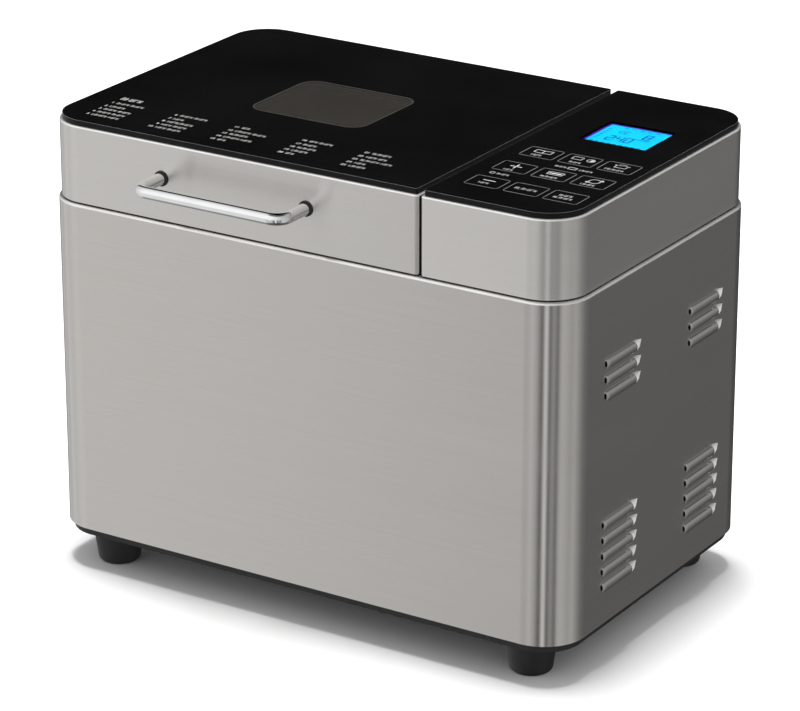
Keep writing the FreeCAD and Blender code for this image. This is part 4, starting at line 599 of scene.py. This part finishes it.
def bentBar(bm, size):
    ring = bmesh.ops.create_circle(bm, cap_ends=False, segments=28, radius=size["radius"])["verts"]
    place(ring, bm, turn=Matrix.Rotation(math.pi / 2, 3, "X"), move=(size["left"], size["face"], size["z"]))
    loop = list({e for v in ring for e in v.link_edges})

    def run(loop, move):
        made = bmesh.ops.extrude_edge_only(bm, edges=loop)["geom"]
        verts = [g for g in made if isinstance(g, bmesh.types.BMVert)]
        bmesh.ops.translate(bm, verts=verts, vec=move)
        return [g for g in made if isinstance(g, bmesh.types.BMEdge)]

    def bend(loop, centre, angle):
        verts = list({v for e in loop for v in e.verts})
        made = bmesh.ops.spin(bm, geom=loop + verts, cent=centre, axis=(0, 0, 1), dvec=(0, 0, 0), angle=angle,
                              steps=12, use_merge=False, use_normal_flip=False, use_duplicate=False)
        return [g for g in made["geom_last"] if isinstance(g, bmesh.types.BMEdge)]

    straight = size["face"] - size["reach"] - size["bend"]
    loop = run(loop, (0, -straight, 0))
    loop = bend(loop, (size["left"] + size["bend"], size["reach"] + size["bend"], size["z"]), math.pi / 2)
    loop = run(loop, (size["right"] - size["left"] - 2 * size["bend"], 0, 0))
    loop = bend(loop, (size["right"] - size["bend"], size["reach"] + size["bend"], size["z"]), math.pi / 2)
    loop = run(loop, (0, straight, 0))
    bmesh.ops.holes_fill(bm, edges=[e for e in bm.edges if e.is_boundary], sides=0)
    bmesh.ops.recalc_face_normals(bm, faces=bm.faces)


bm = bmesh.new()
bentBar(bm, handle)
finishPiece("lid_handle_bar", bm, [finish["chrome"]], "lid", ["lid_handle"], smoothAngle=50)

collar = {"radius": 4.7, "low": collarLow[1], "high": collarHigh[1]}
bm = bmesh.new()
for x in (handle["left"], handle["right"]):
    before = set(bm.verts)
    bmesh.ops.create_cone(bm, cap_ends=True, cap_tris=False, segments=40, radius1=collar["radius"],
                          radius2=collar["radius"], depth=collar["high"] - collar["low"])
    made = newSince(bm.verts, before)
    place(made, bm, turn=Matrix.Rotation(math.pi / 2, 3, "X"),
          move=(x, (collar["low"] + collar["high"]) / 2, handle["z"]))
finishPiece("handle_collar_rings", bm, [finish["black_plastic"]], "lid", ["handle_collars"],
            bevel=0.3)
print("handle done")


# feet: turned from one profile, with the screw well underneath

foot = {"topRadius": 15.5, "bottomRadius": 12.6, "height": 21.5, "edge": 2.5, "well": 5, "wellDepth": 9,
        "topEdge": 0.5, "names": ("foot_front_left", "foot_front_right", "foot_rear_left", "foot_rear_right")}


def turnedFoot(bm, size, x, y):
    ring = bmesh.ops.create_circle(bm, cap_ends=True, segments=56, radius=size["topRadius"])["verts"]
    place(ring, bm, move=(0, 0, size["height"]))
    face = list({f for v in ring for f in v.link_faces})
    pulled = bmesh.ops.extrude_face_region(bm, geom=face)["geom"]
    low = [g for g in pulled if isinstance(g, bmesh.types.BMVert)]
    ratio = size["bottomRadius"] / size["topRadius"]
    bmesh.ops.translate(bm, verts=low, vec=(0, 0, -size["height"]))
    bmesh.ops.scale(bm, verts=low, vec=(ratio, ratio, 1))
    bmesh.ops.recalc_face_normals(bm, faces=bm.faces)
    sole = [f for f in bm.faces if f.normal.z < -0.9]
    softenEdges(bm, list(sole[0].edges), size["edge"], 6)
    sole = [f for f in bm.faces if f.normal.z < -0.99 and len(f.verts) > 20]
    bmesh.ops.inset_region(bm, faces=sole, thickness=size["bottomRadius"] - size["edge"] - size["well"])
    pulled = bmesh.ops.extrude_face_region(bm, geom=sole)["geom"]
    well = [g for g in pulled if isinstance(g, bmesh.types.BMVert)]
    bmesh.ops.translate(bm, verts=well, vec=(0, 0, size["wellDepth"]))
    bmesh.ops.delete(bm, geom=[f for f in sole if f.is_valid], context="FACES_ONLY")
    top = [f for f in bm.faces if f.normal.z > 0.99 and f.calc_area() > 300]
    softenEdges(bm, list(top[0].edges), size["topEdge"], 2)
    bmesh.ops.translate(bm, verts=bm.verts, vec=(x, y, 0))


for name in foot["names"]:
    x, y = nodeMiddle(name)[:2]
    bm = bmesh.new()
    turnedFoot(bm, foot, x, y)
    finishPiece(name + "_turned", bm, [finish["foot_plastic"]], "base", [name], smoothAngle=40)
print("feet done")


# screen: a dark frame, a lit face with its segments, and a violet fringe

lcd = {"glowLevel": 283.2, "low": 278.5, "high": 283.44, "half": (23.6, 21.0), "glowHalf": (21.2, 18.6),
       "fringe": 1.7, "stroke": 0.9,
       # figures: left, low, width, height and the segments that are lit
       "figures": ((-10.5, -9.5, 3.6, 8.4, "abged"), (-4.2, -9.5, 3.6, 8.4, "fgbc"),
                   (1.4, -9.5, 3.6, 8.4, "abcdef"), (8.6, 1.2, 4.0, 8.0, "abcdefg")),
       # rows of ticks: how many, left, low, step across, step up, length and stroke
       "ticks": ((9, -17, -15.2, 3.9, 0, 2.0, 0.8), (6, -17.5, -9, 0, 3.6, 1.9, 0.8),
                 (5, -10, 14.6, 5.2, 0, 2.6, 0.7))}


def segmentDigit(bm, x, y, z, width, height, lit, stroke, material):
    mid = y + height / 2
    strokes = {"a": ((x, y + height), (x + width, y + height)), "g": ((x, mid), (x + width, mid)),
               "d": ((x, y), (x + width, y)), "f": ((x, mid), (x, y + height)),
               "b": ((x + width, mid), (x + width, y + height)), "e": ((x, y), (x, mid)),
               "c": ((x + width, y), (x + width, mid))}
    for key in lit:
        bar(bm, strokes[key][0], strokes[key][1], stroke, z, material=material)


bm = bmesh.new()
x, y = screen["x"], screen["y"]
slab(bm, x - lcd["half"][0], x + lcd["half"][0], y - lcd["half"][1], y + lcd["half"][1], lcd["low"],
     lcd["glowLevel"] - 0.3, [1] * 4, 3)
for material, level, shrink in ((2, lcd["glowLevel"] - 0.06, 0), (1, lcd["glowLevel"], lcd["fringe"])):
    faces = slab(bm, x - lcd["glowHalf"][0] + shrink, x + lcd["glowHalf"][0] - shrink * 0.3,
                 y - lcd["glowHalf"][1] + shrink * 0.3, y + lcd["glowHalf"][1] - shrink,
                 lcd["glowLevel"] - 0.35,
                 level, [0.4] * 4, 2)
    for face in faces:
        face.material_index = material
ink = lcd["glowLevel"] + 0.06
for left, low, width, height, lit in lcd["figures"]:
    segmentDigit(bm, x + left, y + low, ink, width, height, lit, lcd["stroke"], 3)
for dotY in (-7.2, -3.6):
    bar(bm, (x - 5.8, y + dotY), (x - 5.6, y + dotY), lcd["stroke"], ink, material=3)
bar(bm, (x + 6.4, y - 1.2), (x + 14.8, y - 1.2), 0.6, ink, material=3)
for count, left, low, stepX, stepY, length, stroke in lcd["ticks"]:
    for step in range(count):
        start = (x + left + step * stepX, y + low + step * stepY)
        bar(bm, start, (start[0] + length, start[1]), stroke, ink, material=3)
for offset in (-8.6, -5.2):
    bar(bm, (x + offset, y + 4.5), (x + offset + 2.6, y + 5.2), 0.6, ink, material=3)
    bar(bm, (x + offset, y + 8.2), (x + offset + 2.6, y + 8.9), 0.6, ink, material=3)
    bar(bm, (x + offset, y + 4.5), (x + offset, y + 8.2), 0.5, ink, material=3)
finishPiece("screen_module", bm, [finish["display"], finish["screen_glow"], finish["screen_edge"],
                                  finish["screen_mark"]], "base", ["lcd_display"], tidy=False)
print("screen done")


# printed programme list on the lid: numbers, with plain marks where words would stand

legend = {"columnX": (-156.6, -110.5, -66.3, -19.0, 24.0),
          "rowY": (-60.5, -67.4, -73.5, -79.6, -85.6), "height": 2.5, "gap": 3.4, "stroke": 0.26, "space": 1.3,
          "words": ((5, 5), (6,), (5, 5), (5, 5), (6, 4), (5, 5), (4,), (10,), (4, 5), (4, 5), (3,),
                    (6, 5), (7,),
                    (6, 4), (3,), (3, 5), (5,), (7,), (6,), (3,), (7,), (4, 3), (7, 4), (4,), (6,))}


def plainWord(bm, x, y, z, letters, height, stroke, material=0):
    # a run of upright and level marks, letter sized, that say nothing
    advance = height * 0.72
    for index in range(letters):
        left = x + index * advance
        bar(bm, (left, y), (left, y + height), stroke, z, material=material)
        level = (0.0, 0.5, 1.0)[(index * 2 + letters) % 3] * height
        bar(bm, (left, y + level), (left + advance * 0.5, y + level), stroke, z, material=material)
        if (index + letters) % 2:
            upright = left + advance * 0.52
            bar(bm, (upright, y), (upright, y + height), stroke, z, material=material)
    return x + letters * advance


bm = bmesh.new()
number = 0
for columnX in legend["columnX"]:
    for rowY in legend["rowY"]:
        number += 1
        writeNumber(bm, number, columnX + 1.2, rowY - legend["height"] / 2, printLevel, legend["height"])
        cursor = columnX + legend["gap"]
        for letters in legend["words"][number - 1]:
            cursor = plainWord(bm, cursor, rowY - legend["height"] / 2, printLevel, letters,
                               legend["height"], legend["stroke"]) + legend["space"]
plainWord(bm, -156.0, -53.6, printLevel, 5, 4.2, 0.5)
edge = roundedPoints(windowPane["wide"] / 2 + 0.3, windowPane["deep"] / 2 + 0.3, windowPane["corner"], 8)
strokes(bm, windowPane["x"], windowPane["y"], edge, 0.7, closed=True)
finishPiece("programme_list", bm, [finish["print_white"], finish["window_line"]],
            "lid", tidy=False)
print("legend done")


# printed touch keys on the panel

keys = {"x": 133.8, "y": -38.425, "pitchX": 25.4, "pitchY": 30.3, "wide": 21.5, "deep": 16.5, "corner": 1.6,
        "stroke": 0.34}


bookShape = [(0, -2.6), (-5.4, -2.0), (-5.4, 2.6), (0, 2.0), (5.4, 2.6), (5.4, -2.0)]
loafShape = [(-5, -2.2), (5, -2.2), (5, 1), (5.6, 2.2), (4.6, 3.4), (-4.6, 3.4), (-5.6, 2.2), (-5, 1)]
bm = bmesh.new()
for row in range(3):
    for column in range(3):
        x = keys["x"] + (column - 1) * keys["pitchX"]
        y = keys["y"] + (1 - row) * keys["pitchY"]
        outline = roundedPoints(keys["wide"] / 2, keys["deep"] / 2, keys["corner"], 4)
        strokes(bm, x, y, outline, keys["stroke"], 0, True)
        icon = (row, column)
        if icon == (0, 0):
            strokes(bm, x, y + 2.2, bookShape, 0.4, closed=True)
            strokes(bm, x, y + 2.2, [(0, -2.6), (0, 2.0)], 0.5)
            plainWord(bm, x - 4.2, y - 5.6, printLevel, 4, 2.3, 0.25, 1)
        if icon == (0, 1):
            strokes(bm, x - 3.2, y + 2.4, [(px * 0.62, py * 0.8) for px, py in loafShape], 0.4, closed=True)
            strokes(bm, x + 5.6, y + 2.4, arcPoints(2.4, 0, 360, 14), 0.5)
            for fill in range(5):
                strokes(bm, x + 5.6, y + 2.4,
                        [(0, -2.0 + fill), (1.9 - abs(fill - 2) * 0.5, -2.0 + fill)], 0.8)
            plainWord(bm, x - 4.6, y - 5.6, printLevel, 5, 2.1, 0.25, 1)
        if icon == (0, 2):
            strokes(bm, x, y + 2.2, [(-3.6, 1.8), (-3.6, -2.2), (3.6, -2.2), (3.6, 1.8)], 0.4, closed=True)
            strokes(bm, x, y + 2.2, [(-4.8, 1.8), (4.8, 1.8)], 0.5)
            strokes(bm, x, y + 4.4, arcPoints(2.4, 0, 180, 8, 0.6), 0.5)
            plainWord(bm, x - 6.8, y - 5.6, printLevel, 8, 2.1, 0.25, 1)
        if icon == (1, 0):
            strokes(bm, x, y + 1.6, [(-3.6, 0), (3.6, 0)], 0.7)
            strokes(bm, x, y + 1.6, [(0, -3.6), (0, 3.6)], 0.7)
            plainWord(bm, x - 4.0, y - 6.4, printLevel, 4, 2.1, 0.25, 1)
        if icon == (1, 1):
            strokes(bm, x, y + 1.8, [(px * 0.95, py * 0.8) for px, py in loafShape], 0.4, closed=True)
            strokes(bm, x, y + 1.8, [(-3.6, 0.4), (3.6, 0.4)], 1.2)
            plainWord(bm, x - 5.6, y - 5.8, printLevel, 7, 2.1, 0.25, 1)
        if icon == (1, 2):
            strokes(bm, x, y + 1.8, arcPoints(3.3, 40, 200, 10), 0.7)
            strokes(bm, x, y + 1.8, arcPoints(3.3, 220, 380, 10), 0.7)
            strokes(bm, x, y + 1.8, [(2.2, 2.2), (4.6, 1.6), (3.6, 3.6)], 0.7, closed=True)
            strokes(bm, x, y + 1.8, [(-2.2, -2.2), (-4.6, -1.6), (-3.6, -3.6)], 0.7, closed=True)
            plainWord(bm, x - 5.2, y - 6.0, printLevel, 6, 2.1, 0.25, 1)
        if icon == (2, 0):
            strokes(bm, x, y + 2.4, [(-3.8, 0), (3.8, 0)], 0.7)
            plainWord(bm, x - 4.0, y - 3.6, printLevel, 4, 2.3, 0.25, 1)
        if icon == (2, 1):
            plainWord(bm, x - 7.0, y - 1.4, printLevel, 7, 2.8, 0.25, 1)
        if icon == (2, 2):
            plainWord(bm, x - 5.2, y + 0.8, printLevel, 5, 2.4, 0.25, 1)
            plainWord(bm, x - 6.6, y - 3.4, printLevel, 7, 2.4, 0.25, 1)
delay = (keys["x"] - keys["pitchX"], keys["y"] - keys["pitchY"] * 0.5)
strokes(bm, delay[0] - 6, delay[1] + 0.6, arcPoints(1.5, 0, 360, 10), 0.4)
plainWord(bm, delay[0] - 2.8, delay[1] - 0.6, printLevel, 5, 2.2, 0.25, 1)
between = (keys["x"], keys["y"] + keys["pitchY"] * 0.5)
plainWord(bm, between[0] - 7.4, between[1] - 1.2, printLevel, 5, 2.0, 0.25, 1)
strokes(bm, between[0] + 3.4, between[1] - 0.2, [(px * 0.5, py * 0.55) for px, py in loafShape],
        0.45, closed=True)
plainWord(bm, between[0] + 8.2, between[1] - 1.2, printLevel, 6, 2.0, 0.25, 1)
finishPiece("touch_key_print", bm, [finish["print_grey"], finish["print_white"]],
            "base", tidy=False)
print("keys done")


# everything else keeps its engineered shape: the seen pieces get softened edges, the rest a finish

def refined(name, slotName, body, bevel, smoothAngle=32):
    source = frame["nodes"][name]
    bm = bmesh.new()
    bm.from_mesh(source.data)
    bmesh.ops.scale(bm, verts=bm.verts, vec=(1 / mm, 1 / mm, 1 / mm))
    bmesh.ops.remove_doubles(bm, verts=bm.verts, dist=2e-3)
    bmesh.ops.dissolve_limit(bm, angle_limit=math.radians(0.6), verts=bm.verts, edges=bm.edges,
                             use_dissolve_boundaries=False, delimit={"NORMAL"})
    return finishPiece(name + "_finished", bm, [finish[slotName]], body, [name], bevel, smoothAngle)


owner = {node: body for body, nodes in frame["record"]["behaviour"]["bodies"].items() for node in nodes}
softened = {"base_tray": 0.4, "top_deck": 0.2, "oven_chamber": 0.3, "rear_panel": 0.25, "cord_gland": 0.3,
            "hinge_bracket_left": 0.25, "hinge_bracket_right": 0.25, "lid_hinge_leaf_left": 0.25,
            "lid_hinge_leaf_right": 0.25, "lid_liner": 0.25, "lid_gasket": 0.3, "bread_pan": 0.3,
            "pan_base": 0.3,
            "pan_handle": 0.1, "kneading_paddle": 0.5, "panel_carrier": 0.3, "pan_seat": 0.3,
            "drive_coupling": 0.3}
for name, width in softened.items():
    slotName = frame["nodes"][name].data.materials[0].name
    refined(name, slotName, owner[name], width)
for name, node in frame["nodes"].items():
    for index, old in enumerate(node.data.materials):
        if old and old.name in finish:
            node.material_slots[index].material = finish[old.name]
print("inner pieces done")


# floor, light and camera

def stageFloor():
    bm = bmesh.new()
    bmesh.ops.create_grid(bm, x_segments=1, y_segments=1, size=6)
    mesh = bpy.data.meshes.new("floor")
    bm.to_mesh(mesh)
    bm.free()
    floor = bpy.data.objects.new("floor", mesh)
    bpy.context.scene.collection.objects.link(floor)
    material, tree, shader = newMaterial("pale floor")
    shade = tint(tree, pattern(tree, (3, 3, 3)), (0.88, 0.88, 0.88), (0.9, 0.9, 0.9))
    tree.links.new(shade, shader.inputs["Base Color"])
    shader.inputs["Roughness"].default_value = 0.9
    shader.inputs["Specular IOR Level"].default_value = 0
    mesh.materials.append(material)
    floor.visible_glossy = False


def levels(tree, source, stops):
    # a grey ramp through the given stops
    node = tree.nodes.new("ShaderNodeValToRGB")
    ramp = node.color_ramp
    stops = sorted(stops)
    ramp.elements[0].position, ramp.elements[1].position = stops[0][0], stops[-1][0]
    ramp.elements[0].color = (stops[0][1],) * 3 + (1,)
    ramp.elements[1].color = (stops[-1][1],) * 3 + (1,)
    for position, level in stops[1:-1]:
        ramp.elements.new(position).color = (level,) * 3 + (1,)
    tree.links.new(source, node.inputs["Fac"])
    return node.outputs["Color"]


def studioWorld(sky):
    # an even white tent, which polished metal sees as broad panels of light and dark round the object
    world = bpy.data.worlds.new("studio")
    bpy.context.scene.world = world
    world.use_nodes = True
    world.cycles.sampling_method = "NONE"
    tree = world.node_tree
    tree.nodes.clear()
    output = tree.nodes.new("ShaderNodeOutputWorld")
    tent = tree.nodes.new("ShaderNodeBackground")
    tent.inputs["Color"].default_value = (1, 1, 1, 1)
    tent.inputs["Strength"].default_value = sky["tent"]
    white = tree.nodes.new("ShaderNodeBackground")
    white.inputs["Color"].default_value = (1, 1, 1, 1)
    panels = tree.nodes.new("ShaderNodeBackground")
    where = tree.nodes.new("ShaderNodeTexCoord")
    split = tree.nodes.new("ShaderNodeSeparateXYZ")
    tree.links.new(where.outputs["Generated"], split.inputs["Vector"])
    flip = tree.nodes.new("ShaderNodeMath")
    flip.operation = "MULTIPLY"
    flip.inputs[1].default_value = -1
    tree.links.new(split.outputs["Y"], flip.inputs[0])
    around = tree.nodes.new("ShaderNodeMath")
    around.operation = "ARCTAN2"
    tree.links.new(split.outputs["X"], around.inputs[0])
    tree.links.new(flip.outputs["Value"], around.inputs[1])
    part = tree.nodes.new("ShaderNodeMapRange")
    part.inputs["From Min"].default_value = -math.pi
    part.inputs["From Max"].default_value = math.pi
    tree.links.new(around.outputs["Value"], part.inputs["Value"])
    height = tree.nodes.new("ShaderNodeMapRange")
    height.inputs["From Min"].default_value = -1
    height.inputs["From Max"].default_value = 1
    tree.links.new(split.outputs["Z"], height.inputs["Value"])
    ring = levels(tree, part.outputs["Result"], [((angle + 180) / 360, level) for angle, level in sky["ring"]])
    upper = levels(tree, part.outputs["Result"],
                   [((angle + 180) / 360, level) for angle, level in sky["upper"]])
    rise = levels(tree, height.outputs["Result"], [((z + 1) / 2, level) for z, level in sky["rise"]])
    cap = levels(tree, height.outputs["Result"], [((z + 1) / 2, level) for z, level in sky["cap"]])
    both = tree.nodes.new("ShaderNodeMixRGB")
    tree.links.new(rise, both.inputs["Fac"])
    tree.links.new(ring, both.inputs["Color1"])
    tree.links.new(upper, both.inputs["Color2"])
    capped = tree.nodes.new("ShaderNodeMixRGB")
    capped.blend_type = "MULTIPLY"
    capped.inputs["Fac"].default_value = 1
    tree.links.new(both.outputs["Color"], capped.inputs["Color1"])
    tree.links.new(cap, capped.inputs["Color2"])
    tree.links.new(capped.outputs["Color"], panels.inputs["Color"])
    panels.inputs["Strength"].default_value = sky["panels"]
    path = tree.nodes.new("ShaderNodeLightPath")
    backdrop = tree.nodes.new("ShaderNodeMixShader")
    tree.links.new(path.outputs["Is Camera Ray"], backdrop.inputs["Fac"])
    tree.links.new(tent.outputs["Background"], backdrop.inputs[1])
    tree.links.new(white.outputs["Background"], backdrop.inputs[2])
    mix = tree.nodes.new("ShaderNodeMixShader")
    tree.links.new(path.outputs["Is Glossy Ray"], mix.inputs["Fac"])
    tree.links.new(backdrop.outputs["Shader"], mix.inputs[1])
    tree.links.new(panels.outputs["Background"], mix.inputs[2])
    tree.links.new(mix.outputs["Shader"], output.inputs["Surface"])


sky = {"tent": 0.66, "panels": 1.0,
       # angle round the object, 0 in front and 90 at its right, and how bright it is there,
       # low down and high up
       "ring": [(-180, 0.08), (-148, 0.08), (-126, 0.32), (-112, 0.72), (-98, 0.6), (-88, 0.84), (-70, 0.72),
                (-55, 0.82), (-38, 0.79), (-33, 0.70), (-29, 0.53), (-18, 0.52), (-6, 0.66), (7, 0.42),
                (16, 0.10),
                (20, 0.16), (26, 0.86), (30, 0.8), (36, 0.10), (46, 0.38), (56, 0.14), (62, 0.5), (68, 0.64),
                (80, 0.58),
                (91, 0.48), (103, 0.58), (117, 0.38), (131, 0.2), (148, 0.145), (154, 0.135), (162, 0.08)],
       "upper": [(-180, 0.10), (-168, 0.0), (-126, 0.0), (-104, 0.7), (-40, 1.1), (0, 1.0), (60, 0.6),
                 (110, 0.42),
                 (160, 0.40), (176, 0.10)],
       # height, from straight down to straight up: how much the high ring shows
       "rise": [(-1, 0.0), (-0.4, 0.0), (-0.3, 0.12), (-0.04, 0.35), (0.14, 1.0), (1, 1.0)],
       # height again: the panels end above and below, which leaves round chrome a dark top and underside
       "cap": [(-1, 0.12), (-0.86, 0.2), (-0.7, 1.0), (0.84, 1.0), (0.93, 0.2), (1, 0.15)]}


def areaLight(name, spot, target, size, power):
    light = bpy.data.lights.new(name, "AREA")
    light.shape = "RECTANGLE"
    light.size, light.size_y = size
    light.energy = power
    lamp = bpy.data.objects.new(name, light)
    lamp.location = spot
    lamp.rotation_euler = (Vector(target) - Vector(spot)).to_track_quat("-Z", "Y").to_euler()
    bpy.context.scene.collection.objects.link(lamp)
    lamp.visible_glossy = False


def viewCamera(size):
    camera = bpy.data.cameras.new("view")
    camera.sensor_width = 36
    camera.lens = size["lens"]
    camera.clip_end = 50
    holder = bpy.data.objects.new("view", camera)
    holder.location = size["spot"]
    turn, dip = math.radians(size["turn"]), math.radians(size["dip"])
    ahead = Vector((-math.sin(turn) * math.cos(dip), math.cos(turn) * math.cos(dip), -math.sin(dip)))
    holder.rotation_euler = ahead.to_track_quat("-Z", "Y").to_euler()
    bpy.context.scene.collection.objects.link(holder)
    bpy.context.scene.camera = holder


stageFloor()
studioWorld(sky)
areaLight("key", (-0.1, 0.06, 2.4), (0, 0, 0.1), (0.75, 0.75), 85)
viewCamera({"spot": (1.1576, -1.8258, 0.9754), "turn": 32.21, "dip": 21.18, "lens": 173.4})
bpy.context.scene.view_settings.view_transform = "Standard"
print("stage done")
